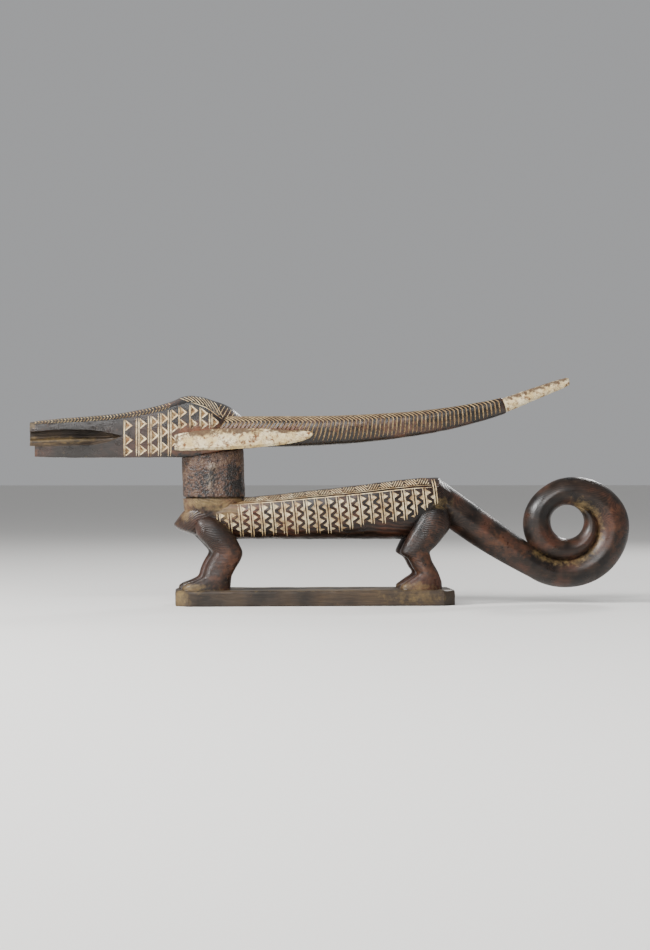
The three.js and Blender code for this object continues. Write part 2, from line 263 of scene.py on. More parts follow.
def make_object(name: str, points: np.ndarray, faces: list, finish: Material | None) -> Solid:
    """A mesh object from points in millimetres, with its faces turned outwards.

    Args:
        name: the object's name.
        points: one row for each point.
        faces: lists of point numbers.
        finish: the material of every face.

    Returns:
        The object, linked to the scene.
    """
    mesh = bpy.data.meshes.new(name)
    mesh.from_pydata((points * MM).tolist(), [], faces)
    mesh.update()
    if finish is not None:
        mesh.materials.append(finish)
    if enclosed(mesh) < 0:
        mesh.flip_normals()
    return linked(name, mesh)


def enclosed(mesh: bpy.types.Mesh) -> float:
    """The volume inside a closed mesh, negative when its faces point inwards."""
    mesh.calc_loop_triangles()
    corners = np.empty(len(mesh.loop_triangles) * 3, np.int32)
    mesh.loop_triangles.foreach_get("vertices", corners)
    a, b, c = points_of(mesh)[corners].reshape(-1, 3, 3).transpose(1, 0, 2)
    return float(np.einsum("ij,ij->", a, np.cross(b, c)) / 6)


def points_of(mesh: bpy.types.Mesh) -> np.ndarray:
    """One row for each point of a mesh, in metres."""
    at = np.empty(len(mesh.vertices) * 3, np.float32)
    mesh.vertices.foreach_get("co", at)
    return at.reshape(-1, 3).astype(float)


def paint(mesh: bpy.types.Mesh, label: str, values: np.ndarray) -> None:
    """Write one value, or one row of three, on each point of a mesh."""
    kind, part = ("FLOAT", "value") if values.ndim == 1 else ("FLOAT_VECTOR", "vector")
    mesh.attributes.new(label, kind, "POINT").data.foreach_set(part, values.astype(np.float32).ravel())


def guide(name: str, points: np.ndarray, edges: list, marks: dict[str, np.ndarray]) -> Solid:
    """Points and edges that feed a node tool.

    Args:
        name: the object's name.
        points: one row for each point, in millimetres.
        edges: pairs of point numbers.
        marks: attribute name to its values on the points.

    Returns:
        The object, linked to the scene.
    """
    mesh = bpy.data.meshes.new(name)
    mesh.from_pydata((points * MM).tolist(), edges, [])
    for label, values in marks.items():
        paint(mesh, label, values)
    return linked(name, mesh)


def skin(name: str, rings: np.ndarray, finish: Material, looped: bool = False) -> Solid:
    """A closed skin over rings of points.

    Args:
        name: the object's name.
        rings: ring, point, coordinate, in millimetres.
        finish: the material.
        looped: the last ring joins the first, so there are no ends to close.

    Returns:
        The object.
    """
    count, around = rings.shape[:2]
    points = rings.reshape(-1, 3)
    r = np.arange(count if looped else count - 1)[:, None]
    i = np.arange(around)[None, :]
    nxt = (r + 1) % count
    j = (i + 1) % around
    quads = np.stack([r * around + i, r * around + j, nxt * around + j, nxt * around + i], axis=-1)
    faces = quads.reshape(-1, 4).tolist()
    if not looped:
        ends = np.stack([rings[0].mean(axis=0), rings[-1].mean(axis=0)])
        points = np.vstack([points, ends])
        first, last = len(points) - 2, len(points) - 1
        base = (count - 1) * around
        for k in range(around):
            m = (k + 1) % around
            faces.append([first, m, k])
            faces.append([last, base + k, base + m])
    return make_object(name, points, faces, finish)


def baked(piece: Solid) -> Solid:
    """Turn an object with its modifiers into a plain mesh.

    Args:
        piece: the object.

    Returns:
        The same object with the plain mesh.
    """
    bpy.context.view_layer.update()
    graph = bpy.context.evaluated_depsgraph_get()
    result = piece.evaluated_get(graph)
    plain = bpy.data.meshes.new_from_object(result, preserve_all_data_layers=True, depsgraph=graph)
    piece.modifiers.clear()
    old = piece.data
    piece.data = plain
    bpy.data.meshes.remove(old)
    return piece


def carve(piece: Solid, other: Solid, how: Carve) -> Solid:
    """Join a solid to the piece or cut it out. Faces keep the material of the solid they come from.

    Args:
        piece: the solid that is worked on.
        other: the second solid, removed afterwards.
        how: join or cut.

    Returns:
        The piece.
    """
    step = piece.modifiers.new("carve", "BOOLEAN")
    step.solver = "MANIFOLD"
    step.operation = how.value
    step.object = other
    step.material_mode = "TRANSFER"
    baked(piece)
    discard(other)
    return piece


def mirrored(piece: Solid, shift: float = 0.0) -> Solid:
    """The same solid on the other side of the middle plane.

    Args:
        piece: the near solid, which stays.
        shift: how far the copy is moved along X, in millimetres.

    Returns:
        The copy.
    """
    copy = linked(piece.name + "_far", piece.data.copy())
    copy.data.transform(Matrix.Translation((shift * MM, 0, 0)) @ Matrix.Diagonal((1, -1, 1, 1)))
    copy.data.flip_normals()
    return copy


@dataclass
class NodeTool:
    """A geometry node tree with named inputs, run once on an object and baked into its mesh."""

    tree: bpy.types.GeometryNodeTree

    @classmethod
    def named(cls, name: str, inputs: dict[str, tuple[str, object]]) -> "NodeTool":
        """Start a tree with its named inputs.

        Args:
            name: the tree's name.
            inputs: input name to its socket type and default value.

        Returns:
            The tool, with no nodes yet.
        """
        tree = bpy.data.node_groups.new(name, "GeometryNodeTree")
        tree.interface.new_socket("Geometry", in_out="INPUT", socket_type="NodeSocketGeometry")
        tree.interface.new_socket("Geometry", in_out="OUTPUT", socket_type="NodeSocketGeometry")
        for label, (kind, value) in inputs.items():
            socket = tree.interface.new_socket(label, in_out="INPUT", socket_type=kind)
            if value is not None:
                socket.default_value = value
        return cls(tree)

    def end(self, result: Node, finish: Socket) -> None:
        """Close the tree: make instances real, set the material and hand the mesh out."""
        real = add(self.tree, "GeometryNodeRealizeInstances", {"Geometry": result})
        dressed = add(self.tree, "GeometryNodeSetMaterial", {"Geometry": real, "Material": finish})
        add(self.tree, "NodeGroupOutput", {0: dressed})

    def run(self, piece: Solid, values: dict[str, object]) -> Solid:
        """Run the tree on an object.

        Args:
            piece: the object that feeds the tree.
            values: input name to value.

        Returns:
            The same object with the result as a plain mesh.
        """
        step = piece.modifiers.new("nodes", "NODES")
        step.node_group = self.tree
        for item in self.tree.interface.items_tree:
            if item.in_out == "INPUT" and item.name in values:
                step[item.identifier] = values[item.name]
        return baked(piece)


def groove_tool() -> NodeTool:
    """A tool that sweeps a round gouge along knife strokes. The stroke's own radius tapers its ends."""
    inputs = {"Sides": ("NodeSocketInt", 6), "Finish": ("NodeSocketMaterial", None)}
    tool = NodeTool.named("knife_strokes", inputs)
    tree = tool.tree
    start = add(tree, "NodeGroupInput")
    path = add(tree, "GeometryNodeMeshToCurve", {"Mesh": start.outputs["Geometry"]})
    radius = add(tree, NAMED, {"Name": "stroke_radius"}, data_type="FLOAT")
    gouge_inputs = {"Resolution": start.outputs["Sides"], "Radius": 1.0}
    gouge = add(tree, "GeometryNodeCurvePrimitiveCircle", gouge_inputs)
    sweep = {"Curve": path, "Profile Curve": gouge, "Scale": radius, "Fill Caps": True}
    tool.end(add(tree, "GeometryNodeCurveToMesh", sweep), start.outputs["Finish"])
    return tool


def chip_tool() -> NodeTool:
    """A tool that sets a triangular chip on every marked place, turned and sized by the place's marks."""
    inputs = {"Chip": ("NodeSocketObject", None), "Finish": ("NodeSocketMaterial", None)}
    tool = NodeTool.named("knife_chips", inputs)
    tree = tool.tree
    start = add(tree, "NodeGroupInput")
    chip = add(tree, "GeometryNodeObjectInfo", {"Object": start.outputs["Chip"]})
    turn = add(tree, NAMED, {"Name": "turn"}, data_type="FLOAT_VECTOR")
    size = add(tree, NAMED, {"Name": "size"}, data_type="FLOAT_VECTOR")
    setting = {
        "Points": add(tree, "GeometryNodeMeshToPoints", {"Mesh": start.outputs["Geometry"]}),
        "Instance": chip.outputs["Geometry"],
        "Rotation": add(tree, "FunctionNodeEulerToRotation", {0: turn}),
        "Scale": size,
    }
    tool.end(add(tree, "GeometryNodeInstanceOnPoints", setting), start.outputs["Finish"])
    return tool


def tail_tool() -> NodeTool:
    """A tool that sweeps a rounded, ridged section along the tail, with a depth and width for each place."""
    inputs = {
        "Sides": ("NodeSocketInt", 48),
        "Squareness": ("NodeSocketFloat", 1.75),
        "Finish": ("NodeSocketMaterial", None),
    }
    tool = NodeTool.named("tail_sweep", inputs)
    tree = tool.tree
    start = add(tree, "NodeGroupInput")
    path = add(tree, "GeometryNodeMeshToCurve", {"Mesh": start.outputs["Geometry"]})
    depth = add(tree, NAMED, {"Name": "half_depth"}, data_type="FLOAT")
    ratio = add(tree, NAMED, {"Name": "width_ratio"}, data_type="FLOAT")
    circle_inputs = {"Resolution": start.outputs["Sides"], "Radius": 1.0}
    circle = add(tree, "GeometryNodeCurvePrimitiveCircle", circle_inputs)
    power = add(tree, MATH, {0: 2.0, 1: start.outputs["Squareness"]}, operation="DIVIDE")
    parts = add(tree, "ShaderNodeSeparateXYZ", {0: add(tree, "GeometryNodeInputPosition")})
    bent = {}
    for axis in (0, 1):
        size = add(tree, MATH, {0: parts.outputs[axis]}, operation="ABSOLUTE")
        raised = add(tree, MATH, {0: size, 1: power}, operation="POWER")
        sign = add(tree, MATH, {0: parts.outputs[axis]}, operation="SIGN")
        bent[axis] = add(tree, MATH, {0: raised, 1: sign}, operation="MULTIPLY")
    section_at = add(tree, "ShaderNodeCombineXYZ", bent)
    section = add(tree, "GeometryNodeSetPosition", {"Geometry": circle, "Position": section_at})
    sweep = {"Curve": path, "Profile Curve": section, "Scale": depth, "Fill Caps": True}
    tube = add(tree, "GeometryNodeCurveToMesh", sweep)
    flat = add(tree, "ShaderNodeSeparateXYZ", {0: add(tree, "GeometryNodeInputPosition")})
    wide = add(tree, MATH, {0: flat.outputs[1], 1: ratio}, operation="MULTIPLY")
    shaped_at = add(tree, "ShaderNodeCombineXYZ", {0: flat.outputs[0], 1: wide, 2: flat.outputs[2]})
    shaped = add(tree, "GeometryNodeSetPosition", {"Geometry": tube, "Position": shaped_at})
    tool.end(shaped, start.outputs["Finish"])
    return tool


@dataclass
class Strokes:
    """Knife strokes drawn on a surface, turned into one cutter."""

    sides: int = 6
    taper_run: float = 0.12
    lines: list[np.ndarray] = field(default_factory=list)
    radii: list[np.ndarray] = field(default_factory=list)

    def draw(self, points: list | np.ndarray, radius: float, taper: float = 0.35) -> None:
        """Add one stroke.

        Args:
            points: the stroke's points in order, in millimetres.
            radius: the gouge's radius.
            taper: the share of the radius left at both ends.
        """
        t = np.linspace(0, 1, len(points))
        swell = np.minimum(1.0, taper + (1 - taper) * np.minimum(t, 1 - t) / self.taper_run)
        self.lines.append(np.array(points))
        self.radii.append(radius * swell)

    def cutter(self, name: str, tool: NodeTool, finish: Material) -> Solid:
        """Make the cutter, one closed tube for each stroke.

        Args:
            name: the cutter's name.
            tool: the groove tool.
            finish: what the grooves are filled with.

        Returns:
            The cutter.
        """
        edges = []
        at = 0
        for line in self.lines:
            edges.extend((at + k, at + k + 1) for k in range(len(line) - 1))
            at += len(line)
        piece = guide(name, np.vstack(self.lines), edges, {"stroke_radius": np.concatenate(self.radii) * MM})
        return tool.run(piece, {"Sides": self.sides, "Finish": finish})


@dataclass
class Chips:
    """Triangular chips on a surface, turned into one cutter."""

    places: list[np.ndarray] = field(default_factory=list)
    turns: list[Triple] = field(default_factory=list)
    sizes: list[Triple] = field(default_factory=list)

    def mark(self, place: np.ndarray, towards: np.ndarray, outward: np.ndarray, size: Triple) -> None:
        """Add one chip.

        Args:
            place: the middle of the triangle's base, on the surface.
            towards: the way from the base to the point.
            outward: the surface's normal.
            size: length to the point, half the base, and depth, in millimetres.
        """
        z = outward / np.linalg.norm(outward)
        x = towards - z * float(towards @ z)
        x /= np.linalg.norm(x)
        y = np.cross(z, x)
        self.places.append(place)
        self.turns.append(tuple(Matrix(np.stack([x, y, z], axis=1).tolist()).to_euler()))
        self.sizes.append(size)

    def cutter(self, name: str, tool: NodeTool, finish: Material) -> Solid:
        """Make the cutter, one closed wedge for each chip.

        Args:
            name: the cutter's name.
            tool: the chip tool.
            finish: what the chips are filled with.

        Returns:
            The cutter.
        """
        marks = {"turn": np.array(self.turns), "size": np.array(self.sizes) * MM}
        piece = guide(name, np.array(self.places), [], marks)
        wedge = self.wedge()
        tool.run(piece, {"Chip": wedge, "Finish": finish})
        discard(wedge)
        return piece

    @staticmethod
    def wedge() -> Solid:
        """The unit chip: base across Y at x 0, point at x 1, floor at -1 and rising a little to the point."""
        top = [(-0.03, -1.04, 1.6), (1.06, 0, 1.6), (-0.03, 1.04, 1.6)]
        floor = [(0.04, -0.84, -1.0), (0.88, 0, -0.8), (0.04, 0.84, -1.0)]
        faces = [[0, 1, 2], [3, 5, 4], [0, 3, 4, 1], [1, 4, 5, 2], [2, 5, 3, 0]]
        return make_object("chip", np.array(top + floor) / MM, faces, None)


def noise_inputs(place: Node | Socket, width_mm: float, detail: float, rough: float = 0.5) -> dict:
    """The inputs of a noise whose patches have a real width.

    Args:
        place: the coordinates.
        width_mm: the usual width of one patch.
        detail: octaves of finer noise.
        rough: how strong the finer octaves are.

    Returns:
        Input name to value.
    """
    return {"Vector": place, "Scale": 1 / (width_mm * MM), "Detail": detail, "Roughness": rough}


def mix_inputs(share: object, below: object, above: object) -> dict:
    """The inputs of a colour mix: how much of the upper colour, the lower colour and the upper one."""
    return {0: share, 6: below, 7: above}


def spread_inputs(value: Node, middle: float, less: float, more: float) -> dict:
    """The inputs that spread the usual range of a noise round a middle value."""
    low, high = middle - less, middle + more
    return {"Value": value, "From Min": 0.3, "From Max": 0.7, "To Min": low, "To Max": high}


def wave_scale(period_mm: float) -> float:
    """The wave texture's scale for one ring in so many millimetres."""
    return WHOLE_TURN / 20 / (period_mm * MM)


@dataclass(frozen=True)
class Ragged:
    """How a painted amount turns into ragged patches that grow with it.

    A patch starts to show at low and covers most, which is cover, at high.
    """

    low: float = 0.0
    high: float = 0.95
    cover: float = 0.85
    contrast: float = 2.0
    offset: float = -1.25

    def share(self, tree: Tree, label: str, pattern: Node) -> Node:
        """Break up a painted amount with a pattern.

        Args:
            tree: the material's nodes.
            label: the painted attribute.
            pattern: the noise that breaks it up.

        Returns:
            The share of the patch's colour.
        """
        amount = add(tree, "ShaderNodeAttribute", attribute_name=label).outputs["Fac"]
        rough = add(tree, MATH, {0: pattern, 1: self.contrast, 2: self.offset}, operation="MULTIPLY_ADD")
        summed = add(tree, MATH, {0: rough, 1: amount}, operation="ADD")
        inputs = {"Value": summed, "From Min": self.low, "From Max": self.high, "To Max": self.cover}
        return add(tree, RANGE, inputs, clamp=True)


@dataclass(frozen=True)
class Surface:
    """A finish. Its patterns read Object coordinates and have real sizes."""

    name: str

    def material(self) -> Material:
        """Build the material.

        Returns:
            The node material, which reads Object coordinates and the dust and wear painted on the piece.
        """
        material = bpy.data.materials.new(self.name)
        material.use_nodes = True
        tree = material.node_tree
        tree.nodes.clear()
        place = add(tree, "ShaderNodeTexCoord").outputs["Object"]
        shader = add(tree, "ShaderNodeBsdfPrincipled", self.look(tree, place))
        add(tree, "ShaderNodeOutputMaterial", {"Surface": shader})
        return material

    def look(self, tree: Tree, place: Socket) -> dict:
        """What the shader gets, which each kind of finish says for itself.

        Args:
            tree: the material's nodes.
            place: Object coordinates.

        Returns:
            The shader's input name to a value, node or output.
        """
        raise NotImplementedError


@dataclass(frozen=True)
class PatinatedWood(Surface):
    """Hardwood carved with adze and knife, darkened and polished by oil and handling.

    It gives the eye a nearly black brown with red places, growth rings that show on rounded parts,
    fine streaks along the length, and a soft shine that breaks on tool marks. Ochre dust lies in the corners.
    """

    name: str = "oiled_carved_hardwood"
    black: str = "#150D09"
    brown: str = "#38251B"
    red: str = "#58301F"
    worn: str = "#6F452C"
    dust: str = "#867048"
    ring_depth: str = "#565656"
    streak_depth: str = "#9A9A9A"
    unshaded: str = "#FFFFFF"
    ring_period_mm: float = 1.3
    ring_share: float = 0.75
    heart_height_mm: float = 112.0
    ring_bend_mm: float = 4.0
    bend_width_mm: float = 30.0
    patch_mm: float = 46.0
    streak_mm: float = 1.1
    streak_stretch: float = 0.05
    streak_share: float = 0.6
    rub_mm: float = 7.0
    dust_mm: float = 6.0
    dust_roughness: float = 0.45
    scuff_mm: float = 14.0
    pore_mm: float = 0.7
    roughness: float = 0.33
    shine: float = 0.32
    polish: float = 0.1
    bump_mm: float = 0.25
    ridge_mm: float = 0.45

    def look(self, tree: Tree, place: Socket) -> dict:
        """What the shader gets.

        Args:
            tree: the material's nodes.
            place: Object coordinates.

        Returns:
            The shader's input name to a value, node or output.
        """
        rings = self.growth_rings(tree, place)
        along = add(tree, "ShaderNodeMapping", {"Vector": place, "Scale": (self.streak_stretch, 1.0, 1.0)})
        streaks = add(tree, NOISE, noise_inputs(along, self.streak_mm, 3.0))
        lying_on = add(tree, NOISE, noise_inputs(place, self.dust_mm, 8.0, 0.72))
        lying = Ragged().share(tree, "dust", lying_on)
        shade = self.wood_colour(tree, place, rings, streaks)
        scuffs = add(tree, NOISE, noise_inputs(place, self.scuff_mm, 4.0))
        rough = add(tree, RANGE, spread_inputs(scuffs, self.roughness, 0.1, 0.16), clamp=True)
        roughened = {0: lying, 1: self.dust_roughness, 2: rough}
        dusted = mix_inputs(lying, shade, linear(self.dust))
        return {
            "Base Color": add(tree, MIX, dusted, data_type="RGBA").outputs[2],
            "Roughness": add(tree, MATH, roughened, operation="MULTIPLY_ADD", use_clamp=True),
            "Normal": self.relief(tree, place, rings, streaks),
            "Coat Weight": self.polish,
            "Coat Roughness": 0.2,
            "Specular IOR Level": self.shine,
        }

    def growth_rings(self, tree: Tree, place: Socket) -> Socket:
        """Rings round a heart line that runs along the figure, bent a little.

        Args:
            tree: the material's nodes.
            place: Object coordinates.

        Returns:
            The rings' output.
        """
        heart = {"Vector": place, "Location": (0, 0, -self.heart_height_mm * MM)}
        centred = add(tree, "ShaderNodeMapping", heart)
        bends = add(tree, NOISE, noise_inputs(place, self.bend_width_mm, 2.0)).outputs["Color"]
        bending = {0: bends, 1: [self.ring_bend_mm * MM] * 3, 2: centred}
        shifted = add(tree, "ShaderNodeVectorMath", bending, operation="MULTIPLY_ADD")
        inputs = {"Vector": shifted, "Scale": wave_scale(self.ring_period_mm), "Distortion": 0.0}
        kind = {"wave_type": "RINGS", "rings_direction": "X", "wave_profile": "SIN"}
        return add(tree, "ShaderNodeTexWave", inputs, **kind).outputs["Fac"]

    def wood_colour(self, tree: Tree, place: Socket, rings: Socket, streaks: Node) -> Socket:
        """The wood's colour with its rings, streaks and rubbed places, before any dust.

        Args:
            tree: the material's nodes.
            place: Object coordinates.
            rings: the growth rings.
            streaks: the fine streaks.

        Returns:
            The colour.
        """
        patches = add(tree, NOISE, noise_inputs(place, self.patch_mm, 3.0))
        tone = add(tree, RAMP, {0: patches}, stops=((0.36, self.black), (0.52, self.brown), (0.72, self.red)))
        ringed = add(tree, RAMP, {0: rings}, stops=((0.0, self.ring_depth), (1.0, self.unshaded)))
        streaked = add(tree, RAMP, {0: streaks}, stops=((0.35, self.streak_depth), (0.62, self.unshaded)))
        shading = {"data_type": "RGBA", "blend_type": "MULTIPLY"}
        shade = add(tree, MIX, mix_inputs(self.ring_share, tone, ringed), **shading).outputs[2]
        shade = add(tree, MIX, mix_inputs(self.streak_share, shade, streaked), **shading).outputs[2]
        rubbed_by = add(tree, NOISE, noise_inputs(place, self.rub_mm, 6.0, 0.65))
        rubbed = Ragged().share(tree, "wear", rubbed_by)
        return add(tree, MIX, mix_inputs(rubbed, shade, linear(self.worn)), data_type="RGBA").outputs[2]

    def relief(self, tree: Tree, place: Socket, rings: Socket, streaks: Node) -> Node:
        """The fine relief: pores and streaks, and on top of them the ridges of the rings.

        Args:
            tree: the material's nodes.
            place: Object coordinates.
            rings: the growth rings.
            streaks: the fine streaks.

        Returns:
            The bumped normal.
        """
        pores = add(tree, NOISE, noise_inputs(place, self.pore_mm, 2.0))
        height = add(tree, MATH, {0: pores, 1: 0.6, 2: streaks}, operation="MULTIPLY_ADD")
        fine = {"Height": height, "Strength": 0.35, "Distance": self.bump_mm * MM}
        grained = add(tree, "ShaderNodeBump", fine)
        ridges = {"Height": rings, "Strength": 0.5, "Distance": self.ridge_mm * MM, "Normal": grained}
        return add(tree, "ShaderNodeBump", ridges)


@dataclass(frozen=True)
class WhiteClay(Surface):
    """Dry clay or pigment pressed into cuts or smeared on wood, rubbed and stained with handling.

    It gives the eye a chalky, uneven pale surface that is darker where it has worn down to the wood.
    """

    pale: str
    warm: str
    stain: str
    # clay worn down to wood; along the ear's lower edge it is painted shade
    bare: str = "#4A2E1B"
    stain_from: float = 0.5
    stain_to: float = 0.66
    blotch_mm: float = 4.0
    bump_mm: float = 0.3
    roughness: float = 0.82
    broad_factor: float = 3.0
    rub_mm: float = 4.5
    grit_mm: float = 0.9

    def look(self, tree: Tree, place: Socket) -> dict:
        """What the shader gets.

        Args:
            tree: the material's nodes.
            place: Object coordinates.

        Returns:
            The shader's input name to a value, node or output.
        """
        broad = add(tree, NOISE, noise_inputs(place, self.blotch_mm * self.broad_factor, 4.0))
        fine = add(tree, NOISE, noise_inputs(place, self.blotch_mm, 6.0, 0.65))
        tone = add(tree, RAMP, {0: broad}, stops=((0.35, self.pale), (0.62, self.warm)))
        marks = add(tree, RAMP, {0: fine}, stops=((self.stain_from, "#000000"), (self.stain_to, "#FFFFFF")))
        stained = add(tree, MIX, mix_inputs(marks, tone, linear(self.stain)), data_type="RGBA").outputs[2]
        rubbed_by = add(tree, NOISE, noise_inputs(place, self.rub_mm, 7.0, 0.66))
        rubbed = Ragged(0.3, 0.7, 0.94).share(tree, "wear", rubbed_by)
        grit = add(tree, NOISE, noise_inputs(place, self.grit_mm, 5.0, 0.7))
        bump = {"Height": grit, "Strength": 0.5, "Distance": self.bump_mm * MM}
        # the bare colour laid on by the painted wear: rubbed clay, and painted shade on the ear's lower edge
        worn = mix_inputs(rubbed, stained, linear(self.bare))
        return {
            "Base Color": add(tree, MIX, worn, data_type="RGBA").outputs[2],
            "Roughness": self.roughness,
            "Normal": add(tree, "ShaderNodeBump", bump),
        }


@dataclass(frozen=True)
class OldHide(Surface):
    """Rawhide shrunk over the joint and painted over with resin and dirt.

    It gives the eye a rough, pitted, mottled surface from rust brown to black with a few shiny high places.
    Its worn grey is partly rubbed hide and partly a painted highlight on the collar's knob and seam.
    """

    name: str = "old_rawhide"
    black: str = "#130E0B"
    rust: str = "#412A1D"
    tan: str = "#594533"
    # grey of rubbed hide, partly a painted highlight on the knob and seam
    worn: str = "#8E8577"
    blotch_mm: float = 4.4
    broad_mm: float = 26.0
    pit_mm: float = 2.2
    roughness: float = 0.42
    bump_mm: float = 1.1

    def look(self, tree: Tree, place: Socket) -> dict:
        """What the shader gets.

        Args:
            tree: the material's nodes.
            place: Object coordinates.

        Returns:
            The shader's input name to a value, node or output.
        """
        blotches = add(tree, NOISE, noise_inputs(place, self.blotch_mm, 8.0, 0.68))
        broad = add(tree, NOISE, noise_inputs(place, self.broad_mm, 3.0))
        blend = add(tree, MATH, {0: broad, 1: 0.7, 2: blotches}, operation="MULTIPLY_ADD")
        scaled = add(tree, MATH, {0: blend, 1: 0.6}, operation="MULTIPLY")
        tone = add(tree, RAMP, {0: scaled}, stops=((0.455, self.black), (0.52, self.rust), (0.63, self.tan)))
        rubbed = Ragged().share(tree, "wear", blotches)
        pitting = {"Vector": place, "Scale": 1 / (self.pit_mm * MM)}
        pits = add(tree, "ShaderNodeTexVoronoi", pitting, feature="F1")
        height = add(tree, MATH, {0: blotches, 1: 1.6, 2: pits.outputs["Distance"]}, operation="MULTIPLY_ADD")
        bump = {"Height": height, "Strength": 0.8, "Distance": self.bump_mm * MM}
        # the worn grey laid on by the painted wear: partly rubbed hide, partly a painted highlight
        shade = mix_inputs(rubbed, tone, linear(self.worn))
        return {
            "Base Color": add(tree, MIX, shade, data_type="RGBA").outputs[2],
            "Roughness": add(tree, RANGE, spread_inputs(blotches, self.roughness, 0.16, 0.3), clamp=True),
            "Normal": add(tree, "ShaderNodeBump", bump),
        }


@dataclass
class Workshop:
    """The finishes and knife tools shared by all carvings."""

    wood: Material
    base_wood: Material
    head_wood: Material
    tail_wood: Material
    inlay: Material
    brown_inlay: Material
    tan_line: Material
    fine_clay: Material
    crust: Material
    hide: Material
    grooves: NodeTool
    chips: NodeTool
    tail: NodeTool

    @classmethod
    def open(cls) -> "Workshop":
        """Make every finish and tool once.

        Returns:
            The workshop, ready for all carvings.
        """
        base = PatinatedWood(
            name="dusty_base_wood",
            black="#2E251D",
            brown="#4A3C2E",
            red="#5C4934",
            worn="#7A5E40",
            roughness=0.6,
            ridge_mm=0.35,
        )
        head = PatinatedWood(
            name="polished_head_wood",
            black="#16120F",
            brown="#2D2521",
            red="#4C332A",
            ring_depth="#A8A8A8",
            ridge_mm=0.1,
            roughness=0.26,
            shine=0.5,
        )
        tail = PatinatedWood(
            name="handled_tail_wood",
            brown="#33261E",
            red="#573628",
            ring_depth="#A2A2A2",
            ridge_mm=0.12,
            patch_mm=24.0,
        )
        inlay = WhiteClay("clay_in_cuts", "#DDCFAC", "#BFA67C", "#67452A", stain_to=0.68)
        stained = WhiteClay(
            "stained_clay_in_cuts", "#9A8357", "#7A5734", "#3A2314", "#20130D", 0.45, 0.6, 2.2
        )
        dusty = WhiteClay(
            "dusty_clay_in_horn_rings", "#A08A64", "#7F6746", "#453122", "#453122", 0.48, 0.68, 3.0
        )
        fine = WhiteClay("clay_in_fine_lines", "#D2C196", "#A5885A", "#4E3521", "#4E3521", 0.48, 0.66, 4.0)
        crust = WhiteClay("clay_crust", "#E0D2AE", "#C4AB78", "#6A4426", "#4C3623", 0.49, 0.64, 4.4, 1.2)
        return cls(
            wood=PatinatedWood().material(),
            base_wood=base.material(),
            head_wood=head.material(),
            tail_wood=tail.material(),
            inlay=inlay.material(),
            brown_inlay=stained.material(),
            tan_line=dusty.material(),
            fine_clay=fine.material(),
            crust=crust.material(),
            hide=OldHide().material(),
            grooves=groove_tool(),
            chips=chip_tool(),
            tail=tail_tool(),
        )


@dataclass(frozen=True)
class Patch:
    """One soft-edged place where dust or wear gathers: a centre, half sizes and a strength."""

    centre: Triple
    reach: Triple
    strength: float = 1.0

    def amount(self, points: np.ndarray) -> np.ndarray:
        """How much lies on each point."""
        away = ((points - np.array(self.centre)) / np.array(self.reach)) ** 2
        return self.strength * np.exp(-0.8 * away.sum(axis=1))


Patches = tuple[Patch, ...]


def strongest(patches: Patches, points: np.ndarray) -> np.ndarray:
    """How much the strongest patch lays on each point, from 0 up."""
    return np.max([np.zeros(len(points)), *(patch.amount(points) for patch in patches)], axis=0)


def both_sides(*patches: Patch) -> Patches:
    """The same patches on the near and the far side."""
    far = tuple(Patch((p.centre[0], -p.centre[1], p.centre[2]), p.reach, p.strength) for p in patches)
    return patches + far


@dataclass
class Carving:
    """A finished carving: a plain solid that is joined, cut and then dressed."""

    piece: Solid
    shop: Workshop

    def join(self, others: list[Solid]) -> None:
        """Grow the carving by several solids."""
        for other in others:
            carve(self.piece, other, Carve.JOIN)

    def cut_both_sides(self, cutter: Solid) -> None:
        """Cut with a cutter of the near side and with its mirror image."""
        far = mirrored(cutter)
        carve(self.piece, cutter, Carve.CUT)
        carve(self.piece, far, Carve.CUT)

    def groove(self, name: str, strokes: Strokes, finish: Material) -> None:
        """Cut knife strokes on both sides."""
        self.cut_both_sides(strokes.cutter(name, self.shop.grooves, finish))

    def chip(self, name: str, chips: Chips, finish: Material) -> None:
        """Cut triangular chips on both sides."""
        self.cut_both_sides(chips.cutter(name, self.shop.chips, finish))

    def dress(self, name: str, dust: Patches, wear: Patches, node: str) -> Solid:
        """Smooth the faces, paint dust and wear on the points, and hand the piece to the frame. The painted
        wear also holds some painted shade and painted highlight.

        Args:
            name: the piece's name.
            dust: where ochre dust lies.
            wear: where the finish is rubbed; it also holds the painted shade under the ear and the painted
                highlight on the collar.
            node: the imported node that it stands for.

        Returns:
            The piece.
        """
        mesh = self.piece.data
        self.piece.name = name
        mesh.name = name
        mesh.shade_smooth()
        mesh.set_sharp_from_angle(angle=SHARP_EDGE)
        points = points_of(mesh) / MM
        paint(mesh, "dust", strongest(dust, points))
        paint(mesh, "wear", strongest(wear, points))
        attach(self.piece, "root")
        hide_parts(node)
        return self.piece


